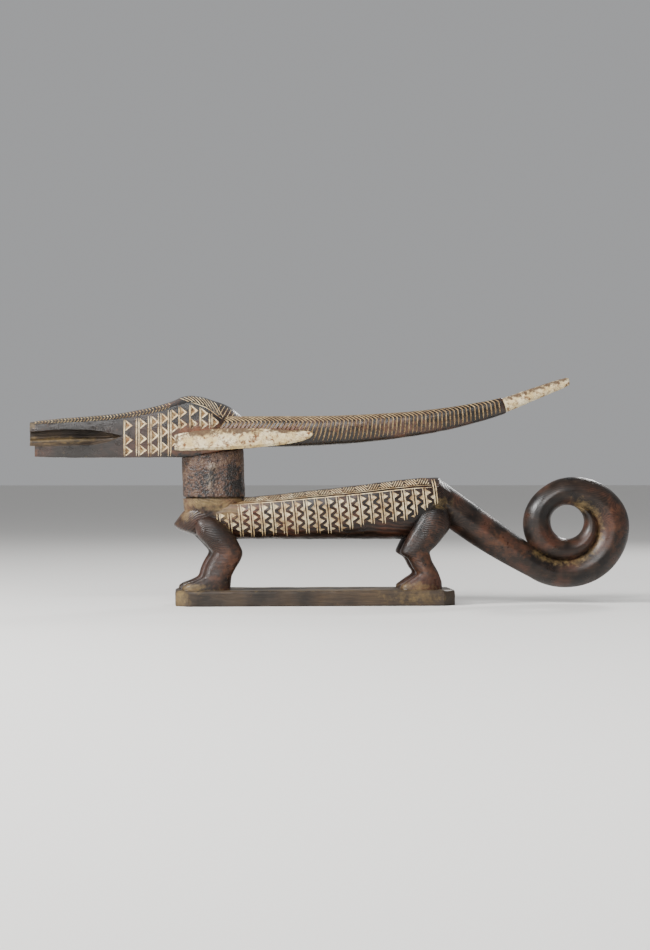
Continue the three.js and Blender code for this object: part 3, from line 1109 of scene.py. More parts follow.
@dataclass
class RoofedForm:
    """A long form with a roof-shaped top, alike on both sides of the middle plane."""

    front: float
    rear: float
    step: float
    roof_points: int
    side_points: int
    tool_marks: ToolMarks

    def section(self, x: float) -> np.ndarray:
        """The near half of one cross-section, from the crest down to the middle of the underside.

        Args:
            x: the place along the form.

        Returns:
            One row of y and z for each point.
        """
        raise NotImplementedError

    def solid(self, name: str, finish: Material) -> Solid:
        """The plain form before any cutting.

        Args:
            name: the object's name.
            finish: the material.

        Returns:
            The form as a solid.
        """
        rings = []
        for x in np.arange(self.front, self.rear + 0.01, self.step):
            near = self.section(x)
            far = near[1:-1][::-1] * np.array([-1, 1])
            rings.append(across(x, np.vstack([near, far])))
        return skin(name, self.tool_marks.worked(np.array(rings)), finish)

    def on_side(self, x: float, z: float) -> np.ndarray:
        """The point of the near side at a place along the form and a height."""
        run = self.section(x)[self.roof_points - 1 : self.roof_points + self.side_points - 1]
        return np.array([x, np.interp(z, run[::-1, 1], run[::-1, 0]), z])

    def on_roof(self, x: float, share: float) -> np.ndarray:
        """A point of the near roof plane; the share of its fall is 0 at the crest and 1 at its lower edge."""
        roof = self.section(x)[: self.roof_points]
        z = roof[0, 1] + (roof[-1, 1] - roof[0, 1]) * share
        return np.array([x, np.interp(-z, -roof[:, 1], roof[:, 0]), z])


@dataclass
class Torso(RoofedForm):
    """The animal's trunk: a roof-shaped back, upright flanks, a rounded belly and cut bands on each side."""

    front: float = -160.5
    rear: float = 158.0
    step: float = 2.2
    roof_points: int = 14
    side_points: int = 34
    tool_marks: ToolMarks = ToolMarks(0.35, 13.0)
    crest: Line = Line((
        (-160.5, 93.2), (-157, 98), (-151, 105.5), (-140, 115), (-120, 121), (-80, 123.2), (30, 134.2),
        (143, 145.6), (147, 143.2), (152, 139), (158, 134),
    ))
    belly: Line = Line((
        (-160.5, 91), (-157, 87.2), (-149, 83.4), (-137, 79.6), (-91, 75), (95, 74.6), (122, 79),
        (152, 93), (158, 100),
    ))
    half_width: Line = Line((
        (-160.5, 4), (-157, 10), (-149, 18), (-130, 25), (-60, 29), (60, 31), (130, 29.5), (143, 26),
        (152, 19), (158, 14),
    ))
    roof_drop: Line = Line((
        (-160.5, 1), (-150, 5), (-120, 7.4), (-80, 7.4), (0, 8.6), (100, 10.6), (140, 11.0), (158, 7),
    ))
    steepest_roof: float = 0.4
    edge_share: float = 0.9
    bend_share: float = 0.4
    bend_drop: float = 0.16
    bulge_share: float = 1.12
    bulge_drop: float = 0.36
    foot_share: float = 1.02
    band_first: float = -87.3
    band_pitch: float = 12.42
    band_count: int = 19
    band_lean: float = 0.11
    band_play: float = 0.45
    below_edge: float = 0.4
    faint_bands: int = 2
    faint_share: float = 0.8
    faint_head: float = 9.0
    band_head: float = 0.2
    rump_head: float = -7.5
    head_on_roof: float = 9.0
    shortest_line: float = 6.0
    foot_play: float = 3.5
    foot_overrun: float = 1.5
    foot_lead: float = 4.0
    pair_spacing: float = 2.9
    line_radius: float = 0.75
    level_share: float = 0.85
    level_on_roof: float = 0.76
    tooth_pitch: float = 10.2
    tooth_halves: tuple[float, float] = (3.75, 3.3)
    tooth_reaches: tuple[float, float] = (0.71, 0.58)
    tooth_depth: float = 1.15
    tooth_play: float = 0.25
    first_tooth: float = 5.4
    first_tooth_faint: float = 12.0
    frieze_foot: Line = Line((
        (-120, 95), (-100, 82), (-86, 79.6), (-58, 80.6), (-18, 83.2), (16, 84.4), (39, 88), (61, 93.5),
        (88, 97), (104, 98.5), (118, 106), (132, 115),
    ))
    hatch_first: float = -82.0
    hatch_last: float = 131.0
    hatch_pitch: float = 3.0
    hatch_block: float = 14.2
    hatch_reach: float = 9.0
    hatch_foot: float = 0.68
    hatch_radius: float = 0.62

    def section(self, x: float) -> np.ndarray:
        """The near half of one cross-section, from the crest down to the middle of the belly."""
        top, low, wide = (float(line(x)) for line in (self.crest, self.belly, self.half_width))
        edge_z = top - min(float(self.roof_drop(x)), self.steepest_roof * (top - low))
        edge = (-self.edge_share * wide, edge_z)
        bend = (-self.bend_share * wide, top - self.bend_drop * (top - edge_z))
        bulge = (-self.bulge_share * wide, edge_z - self.bulge_drop * (edge_z - low))
        roof = bezier([(0, top), bend, edge], self.roof_points)
        flank = bezier([edge, bulge, (-self.foot_share * wide, low), (0, low)], self.side_points)
        return np.vstack([roof, flank[1:]])

    def edge_height(self, x: float) -> float:
        """The height of the edge between roof and flank."""
        return float(self.section(x)[self.roof_points - 1, 1])

    def frieze_depth(self, along: float) -> float:
        """How far the frieze reaches below the edge."""
        return self.edge_height(along) - float(self.frieze_foot(along + self.foot_lead))

    def on_band(self, along: float, down: float) -> np.ndarray:
        """A point of the frieze, from its distance along the upper edge and its distance below it."""
        x = along + down * self.band_lean
        return self.on_side(x, self.edge_height(along) - self.below_edge - down)

    def lifted(self, along: float, down: float) -> np.ndarray:
        """A point of an upright line; above the frieze it lies on the roof."""
        if down >= 0:
            return self.on_band(along, down)
        return self.on_roof(along, 1 + down / self.head_on_roof)

    def band_places(self) -> list[float]:
        """Where the pairs of upright lines start, with a carver's unevenness."""
        steady = self.band_first + self.band_pitch * np.arange(-self.faint_bands, self.band_count)
        return [float(x + self.band_play * ripple(x * 0.31, 3.0)) for x in steady]

    def upright_lines(self) -> Strokes:
        """The pairs of upright lines between the bands, and the pair that closes the frieze at the rump."""
        strokes = Strokes()
        places = self.band_places()
        for k, x in enumerate(places):
            faint, last = k < self.faint_bands, k == len(places) - 1
            head = self.faint_head if faint else (self.rump_head if last else self.band_head)
            for side in (-0.5, 0.5):
                along = x + side * self.pair_spacing
                play = self.foot_play * ripple(along, 7.0)
                reach = self.frieze_depth(along) + play + (0 if last else self.foot_overrun)
                downs = np.linspace(head, max(reach, head + self.shortest_line), 16)
                points = [self.lifted(along, down) for down in downs]
                strokes.draw(points, self.line_radius * (self.faint_share if faint else 1.0))
        return strokes

    def level_lines(self) -> Strokes:
        """The two long lines above the frieze."""
        strokes = Strokes()
        end = self.band_first + self.band_pitch * (self.band_count - 1)
        xs = np.arange(self.band_first - 2, end - 2.5, 3.0)
        strokes.draw([self.on_band(x, -0.1) + np.array([0, 0, 0.3]) for x in xs], self.line_radius)
        roof_line = [self.on_roof(x, self.level_on_roof) for x in xs]
        strokes.draw(roof_line, self.line_radius * self.level_share)
        return strokes

    def teeth(self) -> Chips:
        """The interlocking triangles of every band, cut from both sides of a zigzag ridge."""
        chips = Chips()
        places = self.band_places()
        for k in range(len(places) - 1):
            left = places[k] + self.pair_spacing / 2 + self.line_radius * 0.9
            right = places[k + 1] - self.pair_spacing / 2 - self.line_radius * 0.9
            start = self.first_tooth_faint if k < self.faint_bands else self.first_tooth
            foot = self.frieze_depth(left)
            row = 0
            while True:
                down = start + row * self.tooth_pitch / 2
                half = self.tooth_halves[row % 2]
                if down + half * 0.6 > foot:
                    break
                spread = min(1.0, max(0.45, (foot - down) / 6))
                jitter = self.tooth_play * ripple(left, down, 1.0)
                self.tooth(chips, (left, right), row, down + jitter, half * spread)
                row += 1
        return chips

    def tooth(self, chips: Chips, band: tuple[float, float], row: int, down: float, half: float) -> None:
        """Mark one triangle of a band.

        Args:
            chips: where the triangle is added.
            band: the band's left and right sides along the upper edge.
            row: its number from the top; even ones stand on the left side and point to the tail.
            down: how far below the edge its middle is.
            half: half the length of its base.
        """
        along = band[row % 2]
        sideways = self.on_band(along + 1, down) - self.on_band(along - 1, down)
        downward = self.on_band(along, down + 1) - self.on_band(along, down - 1)
        length = (band[1] - band[0]) * self.tooth_reaches[row % 2]
        towards = -sideways if row % 2 else sideways
        size = (length, half, self.tooth_depth)
        chips.mark(self.on_band(along, down), towards, outwards(sideways, downward), size)

    def roof_hatch(self) -> Strokes:
        """Slanting lines on the back, in blocks that change direction like a herringbone."""
        strokes = Strokes()
        for block in range(int((self.hatch_last - self.hatch_first) / self.hatch_block)):
            left = self.hatch_first + block * self.hatch_block
            for start in np.arange(-self.hatch_reach, self.hatch_block, self.hatch_pitch):
                points = self.hatch_line(left, start, block % 2 == 0)
                if len(points) > 2:
                    strokes.draw(points, self.hatch_radius)
        return strokes

    def hatch_line(self, left: float, start: float, rising: bool) -> list[np.ndarray]:
        """One slanting line of the back, kept inside its triangle.

        Args:
            left: where the block starts.
            start: the line's foot, from the block's start.
            rising: the line leans to the tail; the others lean to the head.

        Returns:
            The points inside the block, perhaps none.
        """
        kept = []
        for share in np.linspace(0.05, self.hatch_foot, 24):
            along = start + self.hatch_reach * (self.hatch_foot - share)
            if 0.1 < along < self.hatch_block - 0.4:
                x = left + (along if rising else self.hatch_block - along)
                kept.append(self.on_roof(x, share))
        return kept


@dataclass
class Legs:
    """The four crouching legs. Near side stations give front, back and half width at each height."""

    middle_y: float = -24.5
    squareness: float = 2.35
    sides: int = 36
    step: float = 1.5
    far_front_shift: float = -3.0
    tool_marks: ToolMarks = ToolMarks(0.3, 9.0, 4.0)
    toe_spacing: float = 5.4
    toe_radius: float = 0.8
    toe_tips: Table = ((-152.2, 25.6), (97.0, 26.0))
    front_face: Line = Line((
        (14, -152.6), (20.6, -152), (24, -148.6), (27.5, -139.5), (33, -129.6), (42, -126.8),
        (51, -122.6), (60, -118), (69, -124.4), (80, -134.6), (91, -137), (98, -133), (101.5, -124),
    ))
    front_back: Line = Line((
        (14, -97), (24, -96.6), (33, -95.4), (42, -91.2), (51, -85.8), (60, -83), (69, -86.4),
        (80, -92.6), (91, -102), (98, -112), (101.5, -120),
    ))
    front_width: Line = Line((
        (14, 11.6), (24, 11.2), (33, 10.4), (51, 11), (60, 11.8), (80, 13.2), (91, 12), (98, 8.5),
        (101.5, 2),
    ))
    rear_face: Line = Line((
        (14, 96.4), (21, 97), (25, 101.4), (29.5, 107.6), (35.6, 115), (42, 111.4), (53, 105.4),
        (60, 96.4), (66, 98.6), (76, 103.8), (90, 112), (100, 118.4), (109, 127.4), (114, 139),
    ))
    rear_back: Line = Line((
        (14, 145.4), (25, 144.6), (35.6, 141.2), (42, 138), (53, 132.4), (60, 131), (66, 136.4),
        (76, 145.4), (90, 154), (100, 153), (109, 149.4), (114, 143),
    ))
    rear_width: Line = Line((
        (14, 11.6), (25, 11.2), (35.6, 10.4), (53, 11), (66, 12.4), (90, 13.4), (100, 12.2), (109, 8.5),
        (114, 2),
    ))

    def leg(self, name: str, face: Line, back: Line, width: Line, finish: Material) -> Solid:
        """One near leg, standing in the base.

        Args:
            name: the object's name.
            face: the line of its front.
            back: the line of its back.
            width: half its width.
            finish: the material.

        Returns:
            The leg as a solid.
        """
        low, high = face.stations[0][0], face.stations[-1][0]
        c, s = rounded(ring_angles(self.sides), self.squareness)
        rings = []
        for z in np.linspace(low, high, int((high - low) / self.step) + 1):
            fore, aft, half = float(face(z)), float(back(z)), float(width(z))
            x = (fore + aft) / 2 + c * (aft - fore) / 2
            rings.append(np.column_stack([x, self.middle_y + s * half, np.full(self.sides, z)]))
        return skin(name, self.tool_marks.worked(np.array(rings)), finish)

    def solids(self, finish: Material) -> list[Solid]:
        """All four legs."""
        fore = self.leg("front_leg", self.front_face, self.front_back, self.front_width, finish)
        hind = self.leg("rear_leg", self.rear_face, self.rear_back, self.rear_width, finish)
        return [fore, hind, mirrored(fore, self.far_front_shift), mirrored(hind)]

    def toes(self) -> Strokes:
        """Short cuts that part the toes of the near feet."""
        strokes = Strokes()
        for tip, top in self.toe_tips:
            for side in (-1, 0, 1):
                y = self.middle_y + side * self.toe_spacing
                front = [(tip - 1.0, y, 17.2), (tip - 0.6, y, 20.5)]
                instep = [(tip + 3.0, y, top - 1.5), (tip + 9.0, y * 0.995, top + 2.2)]
                strokes.draw(front + instep, self.toe_radius)
        return strokes


@dataclass
class Tail:
    """The tail: a fall from the rump that winds into a coil round an open eye. Its angles are in degrees."""

    root: tuple[float, float] = (135.1, 127.3)
    root_half_depth: float = 19.7
    root_half_width: float = 21.0
    sag: float = 2.1
    eye: tuple[float, float] = (291.7, 93.3)
    eye_radius: float = 19.3
    eye_shift: tuple[float, float] = (2.0, 0.9)
    squareness: float = 1.6
    sides: int = 48
    entry: float = -124.0
    split: float = 190.0
    overlap: float = 14.0
    end: float = 416.0
    bite: float = 3.5
    outer: Line = Line((
        (-124, 75.6), (-90, 75), (-45, 76), (-20, 75.9), (-4, 75), (10, 72.4), (25, 67.6), (60, 57.4),
        (92, 51.8), (130, 48.6), (200, 50), (223, 48.6), (258, 45.9), (307, 43.4), (333, 41.4), (355, 39),
        (375, 35.2), (416, 24),
    ))
    half_width: Line = Line(((-124, 16), (0, 16.5), (90, 15.5), (200, 15), (300, 13), (366, 10), (416, 5)))
    turn_step: float = 3.0
    fall_steps: int = 46
    seam: tuple[float, float, float] = (222, 392, 8.0)

    def inner(self, degrees: float) -> float:
        """The coil's inner edge, which bites into the next turn in."""
        angle = math.radians(degrees)
        open_eye = self.eye_radius + self.eye_shift[0] * math.cos(angle) + self.eye_shift[1] * math.sin(angle)
        turn_in = degrees + 360
        return max(open_eye, float(self.outer(turn_in)) - self.bite) if turn_in <= self.end else open_eye

    def round_eye(self, degrees: float, reach: float) -> tuple[float, float]:
        """The x and z of a point at an angle and a distance from the middle of the eye."""
        angle = math.radians(degrees)
        return self.eye[0] + reach * math.cos(angle), self.eye[1] + reach * math.sin(angle)

    def coil_place(self, degrees: float) -> tuple[float, float, float, float]:
        """The centre x, centre z, half depth and half width of the coil at one angle."""
        outer, inner = float(self.outer(degrees)), self.inner(degrees)
        x, z = self.round_eye(degrees, (outer + inner) / 2)
        return x, z, (outer - inner) / 2, float(self.half_width(degrees))

    def fall(self) -> list[tuple[float, float, float, float]]:
        """The same four values from inside the rump to the coil: straight above, sagging below.

        Returns:
            One place for each step.
        """
        start = np.array([*self.root, self.root_half_depth, self.root_half_width])
        goal = np.array(self.coil_place(self.entry))
        along = (goal - start)[:2] / np.linalg.norm((goal - start)[:2])
        hanging = np.array([along[1], -along[0], 1.0, 0.0]) * self.sag
        shares = np.arange(self.fall_steps) / self.fall_steps
        return [tuple(start + (goal - start) * t + hanging * math.sin(math.pi * t)) for t in shares]

    def seam_dust(self) -> Patches:
        """Small dusty places along the seam between the two turns."""
        spots = []
        for degrees in np.arange(*self.seam):
            x, z = self.round_eye(degrees, float(self.outer(degrees)) + 0.5)
            spots.append(Patch((x, -12.0, z), (4.2, 9.0, 4.2), 0.68))
        return tuple(spots)

    def sweep(self, name: str, places: list[tuple[float, float, float, float]], shop: Workshop) -> Solid:
        """Sweep the tail's section along a run of places.

        Args:
            name: the object's name.
            places: centre x, centre z, half depth and half width at each place.
            shop: the tools and finishes.

        Returns:
            The swept solid.
        """
        x, z, deep, wide = np.array(places).T
        points = np.column_stack([x, np.zeros_like(x), z])
        edges = [(k, k + 1) for k in range(len(x) - 1)]
        piece = guide(name, points, edges, {"half_depth": deep * MM, "width_ratio": wide / deep})
        values = {"Sides": self.sides, "Squareness": self.squareness, "Finish": shop.tail_wood}
        shop.tail.run(piece, values)
        if enclosed(piece.data) < 0:
            piece.data.flip_normals()
        return piece

    def solids(self, shop: Workshop) -> list[Solid]:
        """The fall with the outer turn, and the inner turn that ends in the tip."""
        outer = np.arange(self.entry, self.split + 0.1, self.turn_step)
        inner = np.arange(self.split - self.overlap, self.end + 0.1, self.turn_step)
        first = self.sweep("tail_outer", self.fall() + [self.coil_place(a) for a in outer], shop)
        second = self.sweep("tail_inner", [self.coil_place(a) for a in inner], shop)
        return [first, second]


@dataclass
class Base:
    """The slab that the animal stands on, with cut corners and softened, uneven edges."""

    length: float = 319.0
    depth: float = 88.0
    height: float = 17.8
    chamfer: float = 14.0
    point_step: float = 2.6
    edge_levels: Table = (
        (0.0, 0.9), (0.5, 0.3), (2.0, 0.0), (5.0, 0.0), (8.0, 0.0), (11.0, 0.0), (14.0, 0.1), (16.4, 0.5),
        (17.5, 1.5),
    )
    top_insets: tuple[float, ...] = (3.0, 6.0, 10.0, 15.0, 21.0, 28.0, 35.0, 41.0)
    wear: float = 0.35
    wave: float = 0.5
    wave_mm: float = 17.0
    roughness: float = 0.25
    rough_mm: float = 5.0

    def outline(self, inset: float) -> np.ndarray:
        """The outline with its cut corners, drawn in by an inset.

        Args:
            inset: how far inside the full outline.

        Returns:
            One row of x and y for each point.
        """
        x, y, cut = self.length / 2, self.depth / 2, self.chamfer
        front = [(-x + cut, -y), (x - cut, -y), (x, -y + cut), (x, y - cut)]
        back = [(x - cut, y), (-x + cut, y), (-x, y - cut), (-x, -y + cut)]
        corners = np.array(front + back)
        points = []
        for a, b in zip(corners, np.roll(corners, -1, axis=0)):
            count = round(float(np.linalg.norm(b - a)) / self.point_step)
            points.extend(a + (b - a) * t for t in np.arange(count) / count)
        return np.array(points) * np.array([(x - inset) / x, (y - inset) / y])

    def solid(self, finish: Material) -> Solid:
        """The slab as a solid with a flat underside."""
        rings = []
        for z, inset in (*self.edge_levels, *((self.height, inset) for inset in self.top_insets)):
            flat = self.outline(inset)
            wave = np.array([ripple(x / self.wave_mm, y / self.wave_mm, z / 9) for x, y in flat])
            ragged = np.array([ripple(x / self.rough_mm, y / self.rough_mm, z / 4) for x, y in flat])
            way = flat / np.linalg.norm(flat, axis=1, keepdims=True)
            lost = self.wear + self.wave * wave + self.roughness * ragged
            pulled = flat - way * lost[:, None] * (1.0 if z > 0 else 0.0)
            heights = z + self.wear * wave if z >= self.height else np.full(len(flat), z)
            rings.append(np.column_stack([pulled, heights]))
        return skin("slab_base", np.array(rings), finish)


@dataclass
class Neck:
    """The neck's outline, which leans back a little towards its foot, and the hide collar that wraps it."""

    top_x: float = -117.0
    foot_x: float = -114.0
    foot_z: float = 100.0
    top_z: float = 182.0
    half_length: float = 32.6
    half_width: float = 23.6
    squareness: float = 2.5
    sides: int = 160
    gap: float = 0.3
    wall: float = 3.0
    joint: float = 148.0
    stub_foot: float = 110.0
    root_foot: float = 96.0
    root_top: float = 123.1
    root_step: float = 1.6
    root_taper: float = 0.95
    taper_height: float = 22.0
    root_marks: ToolMarks = ToolMarks(0.5, 7.0, 9.0)
    collar_foot: float = 123.4
    under_head_x: tuple[float, float] = (-156, -76)
    under_head_z: tuple[float, float] = (168.4, 179.4)
    knob: tuple[float, float] = (-118.2, 158.5)
    seam_x: float = -118.6
    stitch_x: float = -84.5

    def ring(self, z: float | np.ndarray, margin: float, grow: float = 1.0) -> np.ndarray:
        """One ring round the neck.

        Args:
            z: its height, one for all points or one for each.
            margin: how far outside the wood.
            grow: a scale on the outline.

        Returns:
            One row for each point.
        """
        c, s = rounded(ring_angles(self.sides), self.squareness)
        heights = np.broadcast_to(np.asarray(z, float), c.shape)
        rise = (heights - self.foot_z) / (self.top_z - self.foot_z)
        centre = self.foot_x + (self.top_x - self.foot_x) * rise
        x = centre + c * (self.half_length + margin) * grow
        return np.column_stack([x, s * (self.half_width + margin) * grow, heights])

    def stub(self, name: str, low: float, high: float, finish: Material) -> Solid:
        """The wood inside the collar, between two heights."""
        return skin(name, np.array([self.ring(z, 0.0) for z in (low, high)]), finish)

    def root(self, finish: Material) -> Solid:
        """The body's own shoulder under the collar and the stub inside it."""
        rings = []
        for z in np.arange(self.root_foot, self.root_top, self.root_step):
            share = np.clip((z - self.foot_z) / self.taper_height, 0, 1)
            grow = self.root_taper + (1 - self.root_taper) * share
            rings.append(self.ring(z, self.gap + self.wall, grow))
        shoulder = skin("shoulder", self.root_marks.worked(np.array(rings)), finish)
        stub = self.stub("stub", self.stub_foot, self.joint - self.gap / 2, finish)
        return carve(shoulder, stub, Carve.JOIN)

    def head_stub(self, finish: Material) -> Solid:
        """The head's own half of the neck inside the collar."""
        return self.stub("head_stub", self.joint + self.gap / 2, self.top_z, finish)

    def collar(self, finish: Material) -> Solid:
        """The hide sleeve, with its knob, its seam and shrunken wrinkles."""
        outer = self.ring(self.collar_foot, self.gap + self.wall)
        top = np.interp(outer[:, 0] - 1.5, self.under_head_x, self.under_head_z) - self.gap
        walls = []
        for share in (0.0, 0.02, *np.linspace(0.05, 0.95, 32), 0.98, 1.0):
            z = self.collar_foot + (top - self.collar_foot) * share
            edge = 0.7 if share in (0.0, 1.0) else 0.0
            walls.append(self.wrinkled(self.ring(z, self.gap + self.wall - 0.5 - edge), share))
        for share in (1.0, 0.0):
            z = self.collar_foot + (top - self.collar_foot) * share
            walls.append(self.ring(z, self.gap + 0.1))
        return skin("hide_collar", np.array(walls), finish, looped=True)

    def wrinkled(self, ring: np.ndarray, share: float) -> np.ndarray:
        """Push one ring of hide in and out: wrinkles, the knob and the upright seam below it.

        Args:
            ring: one row for each point.
            share: its place between the collar's foot, 0, and its top, 1.

        Returns:
            The ring after the move.
        """
        outward = ring - ring.mean(axis=0)
        outward[:, 2] = 0
        outward /= np.linalg.norm(outward, axis=1, keepdims=True)
        fade = min(1.0, share * 12, (1 - share) * 12 + 0.15)
        lift = np.array([self.hide_lift(*p) for p in ring])
        return ring + outward * (lift * fade)[:, None]

    def hide_lift(self, x: float, y: float, z: float) -> float:
        """How far the hide stands out at one point. The knob, seam and stitches are on the near side.

        Args:
            x: the point's place along the figure.
            y: its place across the figure.
            z: its height.

        Returns:
            The rise in millimetres.
        """
        creases = ripple(x / 11, y / 11, z / 22)
        pits = ripple(x / 3.1 + 20, y / 3.1 + 20, z / 3.1 + 20) + 0.6 * ripple(x / 1.5, y / 1.5, z / 1.5)
        near = 1.0 if y < 0 else 0.0
        knob = near * math.exp(-(((x - self.knob[0]) / 4.6) ** 2 + ((z - self.knob[1]) / 3.6) ** 2))
        wander = 1.8 * math.sin(z / 7.0) - self.seam_x
        seam = near * math.exp(-(((x + wander) / 1.7) ** 2)) * (1.0 if z < 158 else 0.3)
        stitch = near * math.exp(-(((x - self.stitch_x) / 1.2) ** 2)) * (1.0 if z < 150 else 0.0)
        return 0.6 * creases + 0.42 * pits + 2.4 * knob + 0.9 * seam + 0.5 * stitch


@dataclass(frozen=True)
class CheekColumn:
    """One column of the cheek: its line, which may be double, and the heights of its triangles."""

    x: float
    top: float
    heights: tuple[float, ...]
    foot: float = 169.8
    double: bool = True


@dataclass(frozen=True)
class CrownHatch:
    """One family of slanting lines on the crown.

    Each line moves by lean along X from its lower to its upper end. The lines stand between first and last, a
    pitch apart, and run between two shares of the roof's fall.
    """

    lean: float
    first: float
    last: float
    pitch: float
    low: float
    high: float


@dataclass
class Head(RoofedForm):
    """The long head: a roofed muzzle with an open mouth, cut cheeks and a hatched crown."""

    front: float = -324.0
    rear: float = -76.0
    step: float = 2.0
    roof_points: int = 13
    side_points: int = 30
    tool_marks: ToolMarks = ToolMarks(0.25, 14.0, 2.0)
    crest: Line = Line((
        (-324, 208.8), (-310, 210.8), (-284, 213.4), (-232, 217.7), (-205, 222), (-179, 227.8),
        (-162, 233.2), (-150, 238.2), (-141, 239.3), (-130, 238.2), (-118, 234.4), (-106, 230.6),
        (-95, 225.2), (-86, 218), (-76, 211),
    ))
    edge: Line = Line((
        (-324, 205.8), (-283, 207.6), (-231, 211.2), (-205, 214.5), (-179, 219.8), (-157, 227),
        (-143, 230.4), (-127, 225.8), (-104, 210.3), (-76, 198),
    ))
    bottom: Line = Line(((-324, 170), (-316, 169), (-270, 168), (-156, 168.4), (-76, 179.4)))
    half_width: Line = Line((
        (-324, 14.6), (-270, 18), (-219, 22.5), (-160, 27.5), (-120, 28), (-100, 24), (-76, 14),
    ))
    floor_points: int = 7
    bend_share: float = 0.45
    bend_drop: float = 0.14
    bulge_share: float = 1.06
    bulge_drop: float = 0.3
    jowl_share: float = 1.07
    jowl_lift: float = 0.02
    floor_share: float = 0.8
    jaw_setback: float = 5.6
    jaw_block: Table = ((-40, 160), (40, 160), (40, 181.4), (-40, 181.4))
    lip_top: Line = Line((
        (-345, 197.6), (-322, 198.2), (-283, 200.2), (-256, 199.6), (-239, 197.4), (-228, 195),
        (-219.5, 193),
    ))
    lip_low: Line = Line((
        (-345, 180), (-318, 180.4), (-283, 181.6), (-256, 182.5), (-239, 184.9), (-228, 188.9),
        (-219.5, 192.6),
    ))
    web_half: float = 8.0
    mouth_out: float = -45.0
    line_radius: float = 0.75
    line_offset: float = 1.35
    triangle_half: float = 7.0
    triangle_reach: float = 8.8
    cheek: tuple[CheekColumn, ...] = (
        CheekColumn(-217.2, 212.0, (204.6, 188.2, 175.6), double=False),
        CheekColumn(-202.0, 214.0, (206.6, 189.6, 176.6)),
        CheekColumn(-188.4, 216.8, (209.0, 193.0, 177.8)),
        CheekColumn(-177.2, 219.4, (212.4, 197.4, 180.2)),
        CheekColumn(-166.0, 223.0, (216.4, 202.2, 186.6)),
        CheekColumn(-155.3, 226.6, (219.6, 206.0), 201.0, double=False),
        CheekColumn(-143.0, 229.2, (221.6, 206.4), 201.0, double=False),
        CheekColumn(-131.4, 226.2, (218.2, 206.0), 201.0, double=False),
        CheekColumn(-119.4, 219.4, (208.4,), 201.0),
    )
    tick_span: tuple[float, float, float] = (-318.0, -164.0, 3.7)
    tick_rows: tuple[Triple, ...] = ((2.4, 0.06, 0.46), (-2.4, 0.54, 0.94))
    tick_radius: float = 0.52
    crown_front: CrownHatch = CrownHatch(10.0, -154.0, -112.0, 4.3, 0.08, 0.86)
    crown_back: CrownHatch = CrownHatch(-6.5, -107.0, -82.0, 3.9, 0.1, 0.84)
    crown_radius: float = 0.5
    edge_radius: float = 0.85

    def section(self, x: float) -> np.ndarray:
        """The near half of one cross-section, from the crest down to the middle of the underside."""
        lines = (self.crest, self.edge, self.bottom, self.half_width)
        top, edge_z, low, wide = (float(line(x)) for line in lines)
        high = edge_z - low
        edge = (-wide, edge_z)
        bend = (-self.bend_share * wide, top - self.bend_drop * (top - edge_z))
        roof = bezier([(0, top), bend, edge], self.roof_points)
        bulge = (-self.bulge_share * wide, edge_z - self.bulge_drop * high)
        jowl = (-self.jowl_share * wide, low + self.jowl_lift * high)
        corner = (-self.floor_share * wide, low)
        side = bezier([edge, bulge, jowl, corner], self.side_points)
        floor_y = np.linspace(corner[0], 0, self.floor_points)
        floor = np.column_stack([floor_y, np.full(self.floor_points, low)])
        return np.vstack([roof, side[1:], floor[1:]])

    def mouth(self, finish: Material) -> Solid:
        """The near mouth recess, with a ridge along the web and a bevelled lower lip."""
        rings = []
        for x in (-345.0, *np.arange(-330, -221, 2.0), -219.9):
            top, low = float(self.lip_top(x)), float(self.lip_low(x))
            high = top - low
            face = float(self.half_width(x)) * 1.02
            thickened = max(0.0, (x + 262) / 42) * (face - self.web_half - 1.5)
            web = min(self.web_half + thickened, face - 1.2)
            ridge = min(web + 2.4, face - 0.6)
            upper = [(self.mouth_out, top), (-face, top), (-web, top - 0.08 * high), (-web, top - 0.3 * high)]
            middle = [(-ridge, top - 0.46 * high), (-web, low + 0.4 * high), (-web - 0.4, low + 0.26 * high)]
            lower = [(-(web + (face - web) * 0.45), low + 0.22 * high), (-face, low), (self.mouth_out, low)]
            rings.append(across(x, upper + middle + lower))
        return skin("mouth", np.array(rings), finish)

    def jaw_end(self, finish: Material) -> Solid:
        """The block cut off the lower jaw, which ends a little behind the upper one."""
        ends = (self.front - 6, self.front + self.jaw_setback)
        return skin("jaw_end", np.array([across(x, self.jaw_block) for x in ends]), finish)

    def cheek_lines(self) -> Strokes:
        """The upright lines of the cheek."""
        strokes = Strokes()
        for column in self.cheek:
            for side in (-1, 1) if column.double else (0,):
                x = column.x + side * self.line_offset
                heights = np.linspace(column.top - 1.0, column.foot, 12)
                strokes.draw([self.on_side(x, z) for z in heights], self.line_radius)
        return strokes

    def cheek_chips(self, inset: float, depth: float) -> Chips:
        """The triangles of the cheek, drawn in by an inset.

        Args:
            inset: 0 for the whole triangle, or the width of the rim that is left round it.
            depth: how deep the knife goes.

        Returns:
            The chips.
        """
        chips = Chips()
        size = (self.triangle_reach - inset * 2.2, self.triangle_half - inset, depth)
        for column in self.cheek:
            start = column.x + (2.3 if column.double else 1.1) + inset * 0.3
            for z in column.heights:
                ahead = self.on_side(start + 1, z) - self.on_side(start - 1, z)
                above = self.on_side(start, z + 1) - self.on_side(start, z - 1)
                chips.mark(self.on_side(start, z), ahead, outwards(ahead, above), size)
        return chips

    def snout_ticks(self) -> Strokes:
        """Fine slanting ticks on the roof of the snout, row against row."""
        strokes = Strokes()
        for x in np.arange(*self.tick_span):
            for lean, low, high in self.tick_rows:
                shares = np.linspace(0, 1, 4)
                points = [self.on_roof(x + lean * (t - 0.5), low + (high - low) * t) for t in shares]
                strokes.draw(points, self.tick_radius, 0.6)
        return strokes

